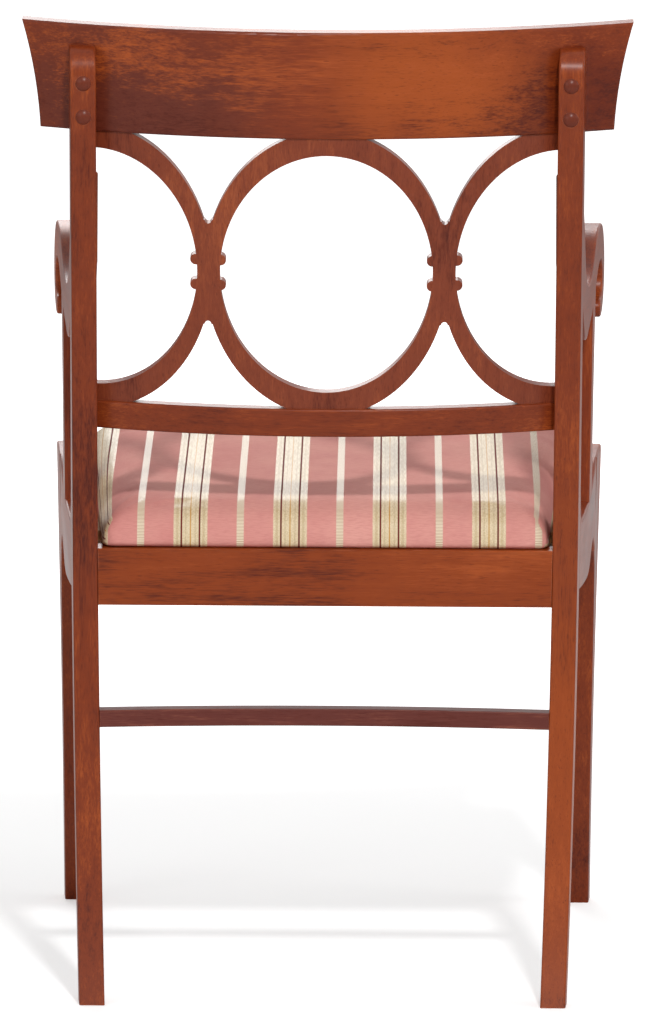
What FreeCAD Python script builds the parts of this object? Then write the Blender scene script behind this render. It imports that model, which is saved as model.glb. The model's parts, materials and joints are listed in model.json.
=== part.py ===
import FreeCAD, Part
import math
import os

# Armchair with a curved crest rail, a pierced ring splat, sabre legs, scrolled arms and
# a loose seat. Millimetres. X runs across, +Y is behind the chair, +Z is up. Distances
# called forward are measured from the rear face of the rear seat rail towards the front.

# Seat frame
SEAT_RAIL_TOP = 417.0
SEAT_TILT = 2.54
FRAME_DEPTH = 428.0
RAIL_THICKNESS = 24.0
REAR_RAIL_HEIGHT = 53.0
FRONT_RAIL_HEIGHT = 58.0
FRONT_RAIL_SETBACK = 2.0

# Side frames
LEG_SPREAD = 420.8
SIDE_SPLAY = 4.03
SIDE_CANT = 0.59
SIDE_THICKNESS = 23.5
SIDE_RAIL_RISE = 16.0
SIDE_RAIL_HEIGHT = 70.0
FRONT_LEG_RISE = 44.0
STILE_FILLET = 44.0
LEG_JOINT_SETBACK = 84.0

# Rear legs and stiles
REAR_FOOT_REACH = 70.5
REAR_FOOT_DEPTH = 28.0
REAR_LEG_DEPTH = 40.0
REAR_KNEE_HEIGHT = 380.0
RAKE_START = 408.0
STILE_FRONT_START = 424.0
BACK_RAKE = 7.0
STILE_TOP = 887.5
STILE_TOP_DEPTH = 34.5
STILE_ROLL = 24.0

# Front legs
FRONT_FOOT_REACH = 486.0
FRONT_FOOT_DEPTH = 30.0
FRONT_CANT = 1.22
FRONT_KNEE_HEIGHT = 330.0
FRONT_KNEE_DEPTH = 58.0
FRONT_CALF_DEPTH = 41.0

# Curved back: crest rail, lower rail and splat lie on one raked curve
BACK_RADIUS = 750.0
BACK_BULGE = 23.2
LOWER_RAIL_BOTTOM = 525.0
LOWER_RAIL_HEIGHT = 26.2
LOWER_RAIL_THICKNESS = 15.0
CREST_GAP = 254.5
CREST_HEIGHT = 99.3
CREST_THICKNESS = 18.0
CREST_TOP_WIDTH = 560.6
CREST_BOTTOM_WIDTH = 527.0
CREST_END_HOLLOW = 3.0

# Ring splat
SPLAT_THICKNESS = 13.0
SPLAT_SETBACK = 2.5
RING_HALF_WIDTH = 97.7
RING_HALF_HEIGHT = 111.5
RING_SIDE_WALL = 14.5
RING_END_WALL = 22.8
HALF_RING_WIDTH = 94.3
HALF_RING_HEIGHT = 111.6
HALF_RING_SIDE_WALL = 13.6
HALF_RING_END_WALL = 22.2
CROSSING_REACH = 46.0
CROSSING_HOLLOW = 3.0
BEAD_WIDTH = 33.0
BEAD_HEIGHT = 10.0
BEAD_SPACING = 23.5
TENON_LENGTH = 9.0
TENON_THICKNESS = 7.0

# Rear stretcher
STRETCHER_BOTTOM = 250.0
STRETCHER_HEIGHT = 16.0
STRETCHER_DEPTH = 20.0
STRETCHER_ARCH = 2.6
STRETCHER_SETBACK = 1.5

# Arms
ARM_HEIGHT = 690.0
ARM_CREST_GAP = 33.6
ARM_DIP = 41.0
ARM_DIP_FORWARD = 135.0
ARM_DEPTH = 44.0
ARM_LAP = 5.0
ARM_REAR_WIDTH = 21.0
ARM_FRONT_WIDTH = 34.0
ARM_SPLAY = 5.43
ARM_INSET = 1.8
SCROLL_CENTRE = 295.0
SCROLL_RADIUS = 45.0
SCROLL_EYE_RADIUS = 19.0
SCROLL_NECK = 11.0
SUPPORT_REAR = 210.0
SUPPORT_DEPTH = 50.0
SUPPORT_WAIST = 4.0
SUPPORT_THICKNESS = 22.0

# Seat
SEAT_SIDE_GAP = 1.5
SEAT_REST_GAP = 0.1
PAD_THICKNESS = 34.0
PAD_CROWN = 6.0
PAD_CORNER = 24.0
PAD_DRAW_IN = 1.5
COVER_THICKNESS = 1.5
COVER_RETURN = 20.0
SEAT_FRAME_WIDTH = 46.0
SEAT_FRAME_THICKNESS = 16.0
SEAT_FRAME_INSET = 9.0
WEBBING_WIDTH = 50.0
WEBBING_THICKNESS = 1.2
WEBBING_PITCH = 100.0
DUST_COVER_THICKNESS = 0.8

# Fasteners and hidden blocks
DOWEL_DIAMETER = 8.0
DOWEL_DEPTH = 16.0
PLUG_DIAMETER = 14.0
PLUG_DEPTH = 7.0
PLUG_DOME = 3.0
PLUG_SPACING = 31.0
PLUG_TOP_DROP = 34.0
SCREW_DIAMETER = 4.0
SCREW_HEAD_DIAMETER = 8.0
CREST_SCREW_LENGTH = 30.0
BLOCK_ARM = 56.0
BLOCK_HEIGHT = 34.0
BLOCK_TOP_DROP = 4.0
CLEAT_WIDTH = 16.0
CLEAT_HEIGHT = 20.0
TACK_DIAMETER = 1.6
TACK_HEAD = 5.0
TACK_LENGTH = 10.0
TACK_HEAD_THICKNESS = 0.6
STAPLE_THICKNESS = 1.2
STAPLE_WIDTH = 10.0
STAPLE_DEPTH = 3.5
STAPLE_MARGIN = 6.0
STAPLES_PER_SIDE = 6
DOWEL_MARGIN = 13.5

# Edges and clearances
ARRIS = 2.0
CREST_ARRIS = 2.2
FIT = 0.1
END_GAP = 1.0

VEC = FreeCAD.Vector
UP = VEC(0, 0, 1)
ACROSS = VEC(1, 0, 0)
RAKE = math.radians(BACK_RAKE)
SPLAY = math.tan(math.radians(SIDE_SPLAY))
TILT = math.tan(math.radians(SEAT_TILT))
CANT = math.tan(math.radians(SIDE_CANT))
HALF_SPREAD = LEG_SPREAD / 2
FAR = 900.0

CREST_BASE = LOWER_RAIL_HEIGHT + CREST_GAP
CREST_REACH = BACK_BULGE + (CREST_BASE + CREST_HEIGHT) * math.sin(RAKE)
REAR_REACH = max(REAR_FOOT_REACH, CREST_REACH)
REAR_FACE_Y = (FRONT_FOOT_REACH - REAR_REACH) / 2


def at(forward, z, x=0.0):
    """Point from its distance forward of the rear rail's rear face, height and side."""
    return VEC(x, REAR_FACE_Y - forward, z)


def line(a, b):
    return Part.LineSegment(a, b).toShape()


def arc(a, b, c):
    return Part.Arc(a, b, c).toShape()


def curve(points, start=None, end=None):
    """Smooth curve through points, with its end directions where they are given."""
    spline = Part.BSplineCurve()
    if start is None:
        spline.interpolate(points)
    else:
        spline.interpolate(Points=points, InitialTangent=start, FinalTangent=end)
    return spline.toShape()


def sweep(forward_top, z_top, forward_foot, z_foot):
    """Arc down to a foot that leaves its upper end upright."""
    drop = z_top - z_foot
    run = forward_foot - forward_top
    angle = 2 * math.atan2(abs(run), drop)
    radius = drop / math.sin(angle)
    side = math.copysign(1.0, run)
    mid = at(
        forward_top + side * radius * (1 - math.cos(angle / 2)),
        z_top - radius * math.sin(angle / 2),
    )
    return arc(at(forward_top, z_top), mid, at(forward_foot, z_foot))


def side_prism(edges, width=FAR):
    """Solid of a side view outline, carried across the chair."""
    wire = Part.Wire(Part.__sortEdges__(edges))
    face = Part.Face(wire)
    face.translate(VEC(-width / 2, 0, 0))
    return face.extrude(VEC(width, 0, 0))


def polygon_prism(points, direction):
    face = Part.Face(Part.makePolygon(points + [points[0]]))
    return face.extrude(direction)


def splayed_prism(outline):
    """Solid of a rear view outline, carried forward along the splay of the side frames."""
    behind = FAR / 3
    points = [at(-behind, z, x - behind * SPLAY) for x, z in outline]
    return polygon_prism(points, VEC(FAR * SPLAY, -FAR, 0))


def mirrored(shape):
    return shape.mirror(VEC(0, 0, 0), ACROSS)


def pair(shape):
    return [shape, mirrored(shape)]


def inner_x(forward, z):
    """Inner face of the left rear leg, stile or side rail."""
    return HALF_SPREAD + (z - SEAT_RAIL_TOP) * CANT + forward * SPLAY


def base_height(forward):
    """Height of the tilted plane on which the seat rests."""
    return SEAT_RAIL_TOP + forward * TILT


def rear_face(z):
    """How far the stile's rear face stands behind the rear rail."""
    return (z - RAKE_START) * math.tan(RAKE)


def back_point(x, out, v):
    """Point of the raked back from its side, distance behind and height up the slope."""
    y = REAR_FACE_Y + BACK_BULGE + v * math.sin(RAKE) + out * math.cos(RAKE)
    z = LOWER_RAIL_BOTTOM + v * math.cos(RAKE) - out * math.sin(RAKE)
    return VEC(x, y, z)


def raked(shape):
    """Carry a shape from the upright drawing of the back to its raked place."""
    shape.rotate(VEC(0, 0, 0), ACROSS, -BACK_RAKE)
    shape.translate(VEC(0, REAR_FACE_Y + BACK_BULGE, LOWER_RAIL_BOTTOM))
    return shape


def sagitta(x):
    return BACK_RADIUS - math.sqrt(BACK_RADIUS ** 2 - x ** 2)


def band(setback, thickness, low, high):
    """Curved slab of the upright back, set in from its rear face and between two heights."""
    centre = VEC(0, -BACK_RADIUS, low)
    outer = Part.makeCylinder(BACK_RADIUS - setback, high - low, centre, UP)
    inner = Part.makeCylinder(
        BACK_RADIUS - setback - thickness, high - low + 2, centre - UP, UP
    )
    front = Part.makeBox(
        4 * BACK_RADIUS, 2 * BACK_RADIUS, high - low + 2,
        VEC(-2 * BACK_RADIUS, -2.5 * BACK_RADIUS, low - 1),
    )
    return outer.cut(inner).cut(front)


def rod(diameter, start, end):
    direction = end - start
    return Part.makeCylinder(diameter / 2, direction.Length, start, direction)


def eased(shape, radius, chosen):
    """Round the edges that a test picks."""
    edges = [edge for edge in shape.Edges if chosen(edge)]
    return shape.makeFillet(radius, edges)


def edge_middle(edge):
    return edge.valueAt((edge.FirstParameter + edge.LastParameter) / 2)


def compound(shapes):
    return Part.makeCompound(shapes)


def holes_for(pins):
    """Holes that fit a list of pins, each a diameter, a start and an end."""
    holes = []
    for diameter, start, end in pins:
        step = (end - start).normalize() * END_GAP
        holes.append(rod(diameter + 2 * FIT, start - step, end + step))
    return compound(holes)


def rods_for(pins):
    return [rod(diameter, start, end) for diameter, start, end in pins]


def mirrored_pins(pins):
    flip = []
    for diameter, start, end in pins:
        flip.append((diameter, VEC(-start.x, start.y, start.z), VEC(-end.x, end.y, end.z)))
    return pins + flip


def blend(a, corner, b):
    """Arc that leaves two lines at points equally far from their corner."""
    half = (a - corner).getAngle(b - corner) / 2
    middle = (a + b) * 0.5
    return arc(a, corner + (middle - corner) * (1 / (1 + math.sin(half))), b)


# Rear legs, each in one piece with its stile
knee_reach = RAKE_START - REAR_KNEE_HEIGHT
rear_knee = at(0, REAR_KNEE_HEIGHT)
rake_end = at(
    -knee_reach * math.sin(RAKE), RAKE_START + knee_reach * math.cos(RAKE)
)
roll_z = STILE_TOP - STILE_ROLL
roll_forward = STILE_ROLL / math.cos(RAKE) - rear_face(roll_z)
roll_angle = (math.pi / 2 - RAKE) / 2
roll_start = at(
    roll_forward - STILE_ROLL * math.cos(RAKE), roll_z - STILE_ROLL * math.sin(RAKE)
)
roll_middle = at(
    roll_forward - STILE_ROLL * math.cos(roll_angle),
    roll_z + STILE_ROLL * math.sin(roll_angle),
)
roll_end = at(roll_forward, STILE_TOP)
crest_foot = back_point(0, 0, CREST_BASE).z
shoulder = STILE_TOP_DEPTH - rear_face(crest_foot)
front_slope = (REAR_LEG_DEPTH - shoulder) / (crest_foot - STILE_FRONT_START)
stile_end = at(shoulder - (STILE_TOP - crest_foot) * front_slope, STILE_TOP)
bend = STILE_FRONT_START - REAR_KNEE_HEIGHT - 4
bend_end = at(REAR_LEG_DEPTH - bend * front_slope, STILE_FRONT_START + bend)
bend_start = at(REAR_LEG_DEPTH, STILE_FRONT_START - bend_end.distanceToPoint(
    at(REAR_LEG_DEPTH, STILE_FRONT_START)))
rear_toe = REAR_FOOT_DEPTH - REAR_FOOT_REACH


def stile_front(z):
    """How far forward the stile's front face stands at a height."""
    return REAR_LEG_DEPTH - max(z - STILE_FRONT_START, 0) * front_slope


rear_leg_side = side_prism([
    line(at(-REAR_FOOT_REACH, 0), at(rear_toe, 0)),
    sweep(REAR_LEG_DEPTH, REAR_KNEE_HEIGHT, rear_toe, 0),
    line(at(REAR_LEG_DEPTH, REAR_KNEE_HEIGHT), bend_start),
    blend(bend_start, at(REAR_LEG_DEPTH, STILE_FRONT_START), bend_end),
    line(bend_end, stile_end),
    line(stile_end, roll_end),
    arc(roll_end, roll_middle, roll_start),
    line(roll_start, rake_end),
    blend(rake_end, at(0, RAKE_START), rear_knee),
    sweep(0, REAR_KNEE_HEIGHT, -REAR_FOOT_REACH, 0),
])
leg_low = -50
leg_high = STILE_TOP + 50


def leg_outline(inner, width):
    """Rear view outline of a slab between an inner face and its width."""
    return [
        (inner(leg_low), leg_low), (inner(leg_high), leg_high),
        (inner(leg_high) + width, leg_high), (inner(leg_low) + width, leg_low),
    ]


def side_inner(z):
    return inner_x(0, z)


crest_space = raked(band(0, 3 * STILE_TOP_DEPTH, CREST_BASE, CREST_BASE + CREST_HEIGHT))
side_slab = splayed_prism(leg_outline(side_inner, SIDE_THICKNESS))
rear_leg = rear_leg_side.common(side_slab).cut(crest_space)


def runs_upright(edge):
    box = edge.BoundBox
    return box.ZLength > 20 and box.ZLength > 2 * box.XLength


def on_rear_leg_arris(edge):
    """Edges that run up the leg, without those against the crest rail."""
    middle = edge_middle(edge)
    against_crest = REAR_FACE_Y + rear_face(middle.z) - STILE_TOP_DEPTH / 2
    return runs_upright(edge) and (middle.z < crest_foot or middle.y > against_crest)


rear_leg = eased(rear_leg, ARRIS, on_rear_leg_arris)
beyond_leg = splayed_prism(leg_outline(side_inner, FAR))
beyond_legs = compound(pair(beyond_leg))

# Rear seat rail and front seat rail, topped by the tilted plane of the seat
seat_plane = [at(-FAR, base_height(-FAR)), at(FAR, base_height(FAR))]
above_seat_plane = polygon_prism(
    [point - ACROSS * FAR for point in seat_plane + [at(FAR, 4 * FAR), at(-FAR, 4 * FAR)]],
    ACROSS * 2 * FAR,
)


def seat_rail(front, height):
    """Rail across the chair under the seat, from its front face and height."""
    back = front - RAIL_THICKNESS
    low = base_height(back) - height
    box = Part.makeBox(
        FAR, RAIL_THICKNESS, 2 * height, VEC(-FAR / 2, REAR_FACE_Y - front, low)
    )
    return box.cut(above_seat_plane)


rear_rail = seat_rail(RAIL_THICKNESS, REAR_RAIL_HEIGHT).cut(beyond_legs)

# Front legs
side_top = SEAT_RAIL_TOP + SIDE_RAIL_RISE
side_bottom = side_top - SIDE_RAIL_HEIGHT
front_face = FRAME_DEPTH + FRONT_RAIL_SETBACK
leg_joint = front_face - LEG_JOINT_SETBACK
leg_top = SEAT_RAIL_TOP + FRONT_LEG_RISE
joint_top = at(leg_joint, leg_top - 3)
joint_bottom = at(leg_joint, side_bottom + 3)
top_run = VEC(0, -1, 0.1)
arch_run = VEC(0, -1, -0.8)
calf_height = FRONT_KNEE_HEIGHT * 0.6
ankle_height = FRONT_KNEE_HEIGHT * 0.3
front_run = FRONT_FOOT_REACH - front_face
front_radius = (front_run ** 2 + FRONT_KNEE_HEIGHT ** 2) / (2 * front_run)


def shin(z):
    """How far forward the front leg's front edge stands at a height."""
    fall = max(FRONT_KNEE_HEIGHT - z, 0)
    return front_face + front_radius - math.sqrt(front_radius ** 2 - fall ** 2)


ankle_depth = FRONT_FOOT_DEPTH * 0.6 + FRONT_CALF_DEPTH * 0.4
front_heel = at(FRONT_FOOT_REACH - FRONT_FOOT_DEPTH, 0)
front_leg_side = side_prism([
    curve([joint_top, at(front_face - 12, leg_top)], top_run, VEC(0, -1, -0.05)),
    blend(at(front_face - 12, leg_top), at(front_face, leg_top), at(front_face, leg_top - 12)),
    line(at(front_face, leg_top - 12), at(front_face, FRONT_KNEE_HEIGHT)),
    sweep(front_face, FRONT_KNEE_HEIGHT, FRONT_FOOT_REACH, 0),
    line(at(FRONT_FOOT_REACH, 0), front_heel),
    curve(
        [
            joint_bottom,
            at(front_face - FRONT_KNEE_DEPTH, FRONT_KNEE_HEIGHT - 10),
            at(shin(calf_height) - FRONT_CALF_DEPTH, calf_height),
            at(shin(ankle_height) - ankle_depth, ankle_height),
            front_heel,
        ],
        arch_run,
        VEC(0, -0.33, -1),
    ),
    line(joint_bottom, joint_top),
])
front_cant = math.tan(math.radians(FRONT_CANT))
front_pivot = SEAT_RAIL_TOP - SIDE_RAIL_RISE


def front_inner(z):
    return inner_x(0, front_pivot) + (z - front_pivot) * front_cant


front_leg = front_leg_side.common(splayed_prism(leg_outline(front_inner, SIDE_THICKNESS)))


def on_leg_arris(edge):
    middle = edge_middle(edge)
    return runs_upright(edge) and middle.y < at(leg_joint + 1, 0).y


front_leg = eased(front_leg, ARRIS, on_leg_arris)
beyond_front = splayed_prism(leg_outline(front_inner, FAR))
front_rail = seat_rail(FRAME_DEPTH, FRONT_RAIL_HEIGHT).cut(compound(pair(beyond_front)))

# Side rails
fillet_top = side_top + STILE_FILLET * 1.1
fillet_start = at(stile_front(fillet_top) - 2, fillet_top)
fillet_end = at(REAR_LEG_DEPTH + STILE_FILLET, side_top)
support_front = SUPPORT_REAR + SUPPORT_DEPTH
rise_reach = leg_joint - support_front
side_rail_side = side_prism([
    curve([fillet_start, fillet_end], VEC(0, -0.5, -1), VEC(0, -1, 0)),
    curve(
        [
            fillet_end,
            at(support_front, side_top + 4),
            at(support_front + rise_reach / 2, side_top + 13),
            joint_top,
        ],
        VEC(0, -1, 0),
        top_run,
    ),
    line(joint_top, joint_bottom),
    curve(
        [
            at(REAR_LEG_DEPTH / 2, side_bottom + 14),
            at(leg_joint / 2, side_bottom),
            at(support_front - 6, side_bottom + 5),
            at(leg_joint - 32, side_bottom + 20),
            joint_bottom,
        ],
        VEC(0, -1, -0.12),
        arch_run,
    ),
    line(at(REAR_LEG_DEPTH / 2, side_bottom + 14), fillet_start),
])
side_rail = side_rail_side.common(side_slab)


def on_rail_arris(edge):
    box = edge.BoundBox
    return box.YLength > 40 and box.YLength > 3 * box.XLength


side_rail = eased(side_rail, ARRIS, on_rail_arris)
side_rail = side_rail.cut(rear_leg_side)

# Arms
scroll_z = ARM_HEIGHT - SCROLL_RADIUS
arm_front = SCROLL_CENTRE + SCROLL_RADIUS
eye_top = scroll_z + SCROLL_NECK
eye_centre = eye_top - SCROLL_EYE_RADIUS
eye_bottom = eye_centre - SCROLL_EYE_RADIUS
lip = scroll_z - SCROLL_RADIUS
arm_rear_top = crest_foot - ARM_CREST_GAP
arm_rise = arm_rear_top - ARM_HEIGHT
arm_rear_bottom = ARM_HEIGHT - ARM_DIP * 0.15
arm_top_start = at(stile_front(arm_rear_top) - ARM_LAP, arm_rear_top)
arm_under_end = at(stile_front(arm_rear_bottom) - ARM_LAP, arm_rear_bottom)
dip_to_scroll = ARM_DIP_FORWARD + (SCROLL_CENTRE - ARM_DIP_FORWARD) * 0.47


def arm_spot(run, rise, dip, depth):
    """Arm point by its shares of the run to the dip, the rise, the dip and the depth."""
    z = ARM_HEIGHT + rise * arm_rise - dip * ARM_DIP - depth * ARM_DEPTH
    return at(run * ARM_DIP_FORWARD, z)


arm_side = side_prism([
    curve(
        [
            arm_top_start,
            arm_spot(0.16, 0.81, 0, 0),
            arm_spot(0.44, 0.53, 0, 0),
            arm_spot(0.61, 0.15, 0, 0),
            arm_spot(0.75, 0, 0.58, 0),
            arm_spot(1, 0, 1, 0),
            at(dip_to_scroll, ARM_HEIGHT - ARM_DIP * 0.54),
            at(SCROLL_CENTRE, ARM_HEIGHT),
        ],
        VEC(0, -1, -0.3),
        VEC(0, -1, 0),
    ),
    arc(
        at(SCROLL_CENTRE, ARM_HEIGHT), at(arm_front, scroll_z), at(SCROLL_CENTRE, lip)
    ),
    arc(
        at(SCROLL_CENTRE, lip),
        at(SCROLL_CENTRE - (eye_bottom - lip) / 2, (eye_bottom + lip) / 2),
        at(SCROLL_CENTRE, eye_bottom),
    ),
    arc(
        at(SCROLL_CENTRE, eye_bottom),
        at(SCROLL_CENTRE + SCROLL_EYE_RADIUS, eye_centre),
        at(SCROLL_CENTRE, eye_top),
    ),
    curve(
        [
            at(SCROLL_CENTRE, eye_top),
            at(dip_to_scroll, ARM_HEIGHT - ARM_DIP * 0.54 - ARM_DEPTH * 0.95),
            arm_spot(1.04, 0, 1, 1),
            arm_spot(0.78, 0, 1, 1.09),
            arm_spot(0.61, 0, 1, 0.8),
            arm_spot(0.37, 0, 1, 0.02),
            arm_under_end,
        ],
        VEC(0, 1, 0),
        VEC(0, 1, 0.35),
    ),
    line(arm_under_end, arm_top_start),
])
arm_tan = math.tan(math.radians(ARM_SPLAY))


def arm_outer(forward):
    return HALF_SPREAD + SIDE_THICKNESS - ARM_INSET + forward * arm_tan


def arm_inner(forward):
    swell = (ARM_FRONT_WIDTH - ARM_REAR_WIDTH) * forward / arm_front
    return arm_outer(forward) - ARM_REAR_WIDTH - swell


arm_slab = polygon_prism(
    [
        at(-40, 0, arm_outer(-40)), at(arm_front + 40, 0, arm_outer(arm_front + 40)),
        at(arm_front + 40, 0, arm_inner(arm_front + 40)), at(-40, 0, arm_inner(-40)),
    ],
    UP * STILE_TOP,
)
arm = arm_side.common(arm_slab)


def on_arm_arris(edge):
    box = edge.BoundBox
    return box.XLength < 0.7 * (box.YLength + box.ZLength) and edge.Length > 20


arm = eased(arm, ARRIS, on_arm_arris)
arm = arm.cut(rear_leg_side)

# Arm supports
support_low = side_top - 12
support_high = eye_top + 2
support_side = side_prism([
    line(at(SUPPORT_REAR, support_low), at(support_front, support_low)),
    arc(
        at(support_front, support_low),
        at(support_front - SUPPORT_WAIST, (side_top + lip) / 2),
        at(support_front + SUPPORT_WAIST, support_high),
    ),
    line(at(support_front + SUPPORT_WAIST, support_high), at(SUPPORT_REAR, support_high)),
    arc(
        at(SUPPORT_REAR, support_high),
        at(SUPPORT_REAR + SUPPORT_WAIST, (side_top + lip) / 2),
        at(SUPPORT_REAR, support_low),
    ),
])


def support_inner(z):
    return side_inner(z) + SIDE_THICKNESS - SUPPORT_THICKNESS


support_slab = splayed_prism(leg_outline(support_inner, SUPPORT_THICKNESS))
support = eased(support_side.common(support_slab), ARRIS, runs_upright)
support = support.cut(side_rail_side).cut(arm_side)

# Crest rail
crest_shape = band(0, CREST_THICKNESS, CREST_BASE, CREST_BASE + CREST_HEIGHT)
crest_high = CREST_BASE + CREST_HEIGHT
end_middle = (CREST_TOP_WIDTH + CREST_BOTTOM_WIDTH) / 4 - CREST_END_HOLLOW


def upright(x, v):
    return VEC(x, BACK_RADIUS, v)


crest_end = Part.Arc(
    upright(CREST_TOP_WIDTH / 2, crest_high),
    upright(end_middle, (CREST_BASE + crest_high) / 2),
    upright(CREST_BOTTOM_WIDTH / 2, CREST_BASE),
).toShape()
crest_outline = Part.Wire(Part.__sortEdges__([
    line(upright(0, CREST_BASE), upright(CREST_BOTTOM_WIDTH / 2, CREST_BASE)),
    crest_end,
    line(upright(CREST_TOP_WIDTH / 2, crest_high), upright(0, crest_high)),
    line(upright(0, crest_high), upright(0, CREST_BASE)),
]))
crest_half = Part.Face(crest_outline).extrude(VEC(0, -2 * BACK_RADIUS, 0))
crest = crest_shape.common(crest_half.fuse(mirrored(crest_half)).removeSplitter())


def on_crest_arris(edge):
    """Every edge but the short ones through the thickness at the lower corners."""
    box = edge.BoundBox
    return box.ZLength < 1 and box.XLength > 50 or box.ZLength > 50


crest = eased(crest, CREST_ARRIS, on_crest_arris)

# Rails between the rear legs, lofted through rounded sections
def rail_loft(spot, depth, height, radius, shares):
    """Rail through sections at shares of its half length, each placed point by point."""
    tight = radius * (1 - math.sqrt(0.5))
    corners = []
    for deep, high in ((0, 0), (0, height), (depth, height), (depth, 0)):
        inward = 1 if deep == 0 else -1
        upward = 1 if high == 0 else -1
        flat = (deep + inward * radius, high)
        tall = (deep, high + upward * radius)
        tip = (deep + inward * tight, high + upward * tight)
        turn = (flat, tip, tall) if (deep == 0) == (high == 0) else (tall, tip, flat)
        corners.append(turn)
    sections = []
    for share in shares:
        edges = []
        turns = [[spot(share, deep, high) for deep, high in turn] for turn in corners]
        for index, turn in enumerate(turns):
            edges.append(arc(*turn))
            edges.append(line(turn[2], turns[(index + 1) % 4][0]))
        sections.append(Part.Wire(edges))
    return Part.makeLoft(sections, True, False)


def bow(x, deep):
    """How far a point so deep in the curved back stands in front of its rearmost line."""
    radius = BACK_RADIUS - deep
    return deep + radius - math.sqrt(radius ** 2 - x ** 2)


def lower_rail_spot(share, deep, high):
    """Point of the lower rail, whose ends lie on the inner faces of the stiles."""
    reach = HALF_SPREAD
    for _ in range(8):
        point = back_point(reach, -bow(reach, deep), high)
        reach = inner_x(REAR_FACE_Y - point.y, point.z)
    return back_point(share * reach, -bow(share * reach, deep), high)


lower_rail = rail_loft(
    lower_rail_spot, LOWER_RAIL_THICKNESS, LOWER_RAIL_HEIGHT, ARRIS,
    [index / 4 for index in range(-4, 5)],
)

# Ring splat, drawn upright as ellipses and cut from the curved back
ring_centre = (LOWER_RAIL_HEIGHT + CREST_BASE) / 2


def oval(x, half_width, half_height):
    """Upright elliptical cutter through the back."""
    centre = VEC(x, BACK_RADIUS, ring_centre)
    if half_height > half_width:
        shape = Part.Ellipse(
            centre + VEC(0, 0, half_height), centre + VEC(half_width, 0, 0), centre
        )
    else:
        shape = Part.Ellipse(
            centre + VEC(half_width, 0, 0), centre + VEC(0, 0, half_height), centre
        )
    face = Part.Face(Part.Wire(shape.toShape()))
    return face.extrude(VEC(0, -2 * BACK_RADIUS, 0))


def block(x, half_width, low, high):
    return Part.makeBox(
        2 * half_width, 2 * BACK_RADIUS, high - low,
        VEC(x - half_width, -BACK_RADIUS, ring_centre + low),
    )


def cross_rod(x, v, radius):
    return Part.makeCylinder(
        radius, 2 * BACK_RADIUS, VEC(x, -BACK_RADIUS, ring_centre + v), VEC(0, 1, 0)
    )


half_centre = inner_x(0, SEAT_RAIL_TOP + CREST_GAP)
crossing = (RING_HALF_WIDTH + half_centre - HALF_RING_WIDTH) / 2 + 0.4
half_ring_outer = oval(
    half_centre, HALF_RING_WIDTH + HALF_RING_SIDE_WALL, HALF_RING_HEIGHT + HALF_RING_END_WALL
)
half_ring_inner = oval(half_centre, HALF_RING_WIDTH, HALF_RING_HEIGHT)
ring_outer = oval(0, RING_HALF_WIDTH + RING_SIDE_WALL, RING_HALF_HEIGHT + RING_END_WALL)
ring_inner = oval(0, RING_HALF_WIDTH, RING_HALF_HEIGHT)
web_half = (RING_SIDE_WALL + HALF_RING_SIDE_WALL) / 5
web = block(crossing, web_half, -CROSSING_REACH - CROSSING_HOLLOW, CROSSING_REACH + CROSSING_HOLLOW)
for end in (-1, 1):
    web = web.cut(cross_rod(crossing, end * (CROSSING_REACH + CROSSING_HOLLOW), CROSSING_HOLLOW))
rings = ring_outer.fuse([half_ring_outer, mirrored(half_ring_outer), web, mirrored(web)])
rings = rings.cut(compound([ring_inner, half_ring_inner, mirrored(half_ring_inner)]))
bead_end = (BEAD_WIDTH - BEAD_HEIGHT) / 2
beads = []
for side in (-1, 1):
    for level in (-BEAD_SPACING / 2, BEAD_SPACING / 2):
        beads.append(
            block(side * crossing, bead_end, level - BEAD_HEIGHT / 2, level + BEAD_HEIGHT / 2)
        )
        beads.append(cross_rod(side * crossing - bead_end, level, BEAD_HEIGHT / 2))
        beads.append(cross_rod(side * crossing + bead_end, level, BEAD_HEIGHT / 2))
splat_low = LOWER_RAIL_HEIGHT
outline = rings.fuse(beads).common(
    Part.makeBox(FAR, 3 * BACK_RADIUS, CREST_GAP, VEC(-FAR / 2, -2 * BACK_RADIUS, splat_low))
)
splat_body = band(SPLAT_SETBACK, SPLAT_THICKNESS, splat_low, CREST_BASE).common(outline)
splat_body = splat_body.removeSplitter()
tenon_setback = SPLAT_SETBACK + (SPLAT_THICKNESS - TENON_THICKNESS) / 2
contact = RING_HALF_WIDTH * 0.36
half_contact = HALF_RING_WIDTH * 0.36


def tenon_spans(grow):
    """Side to side reach of each tenon of the splat, grown all round for its mortise."""
    outer = half_centre - 6 + grow
    inner = half_centre - half_contact - grow
    return [(-contact - grow, contact + grow), (inner, outer), (-outer, -inner)]


def tenons(grow):
    shapes = []
    for low, high in tenon_spans(grow):
        for base in (splat_low - TENON_LENGTH, CREST_BASE):
            piece = band(
                tenon_setback - grow, TENON_THICKNESS + 2 * grow,
                base - 10 * grow, base + TENON_LENGTH + 10 * grow,
            )
            span = Part.makeBox(
                high - low, 3 * BACK_RADIUS, 2 * FAR, VEC(low, -2 * BACK_RADIUS, -FAR)
            )
            shapes.append(piece.common(span))
    return shapes


splat = raked(splat_body.fuse(tenons(0)).removeSplitter()).cut(beyond_legs)
mortises = raked(compound(tenons(FIT)))
crest = raked(crest).cut(mortises)
lower_rail = lower_rail.cut(mortises)

# Rear stretcher, arched between the rear legs
stretcher_rear = STRETCHER_SETBACK - 8


def stretcher_spot(share, deep, high):
    """Point of the stretcher, whose ends lie on the inner faces of the rear legs."""
    forward = stretcher_rear + deep
    reach = inner_x(forward, STRETCHER_BOTTOM + high)
    rise = STRETCHER_ARCH * (1 - share ** 2)
    return at(forward, STRETCHER_BOTTOM + high + rise, share * reach)


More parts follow.
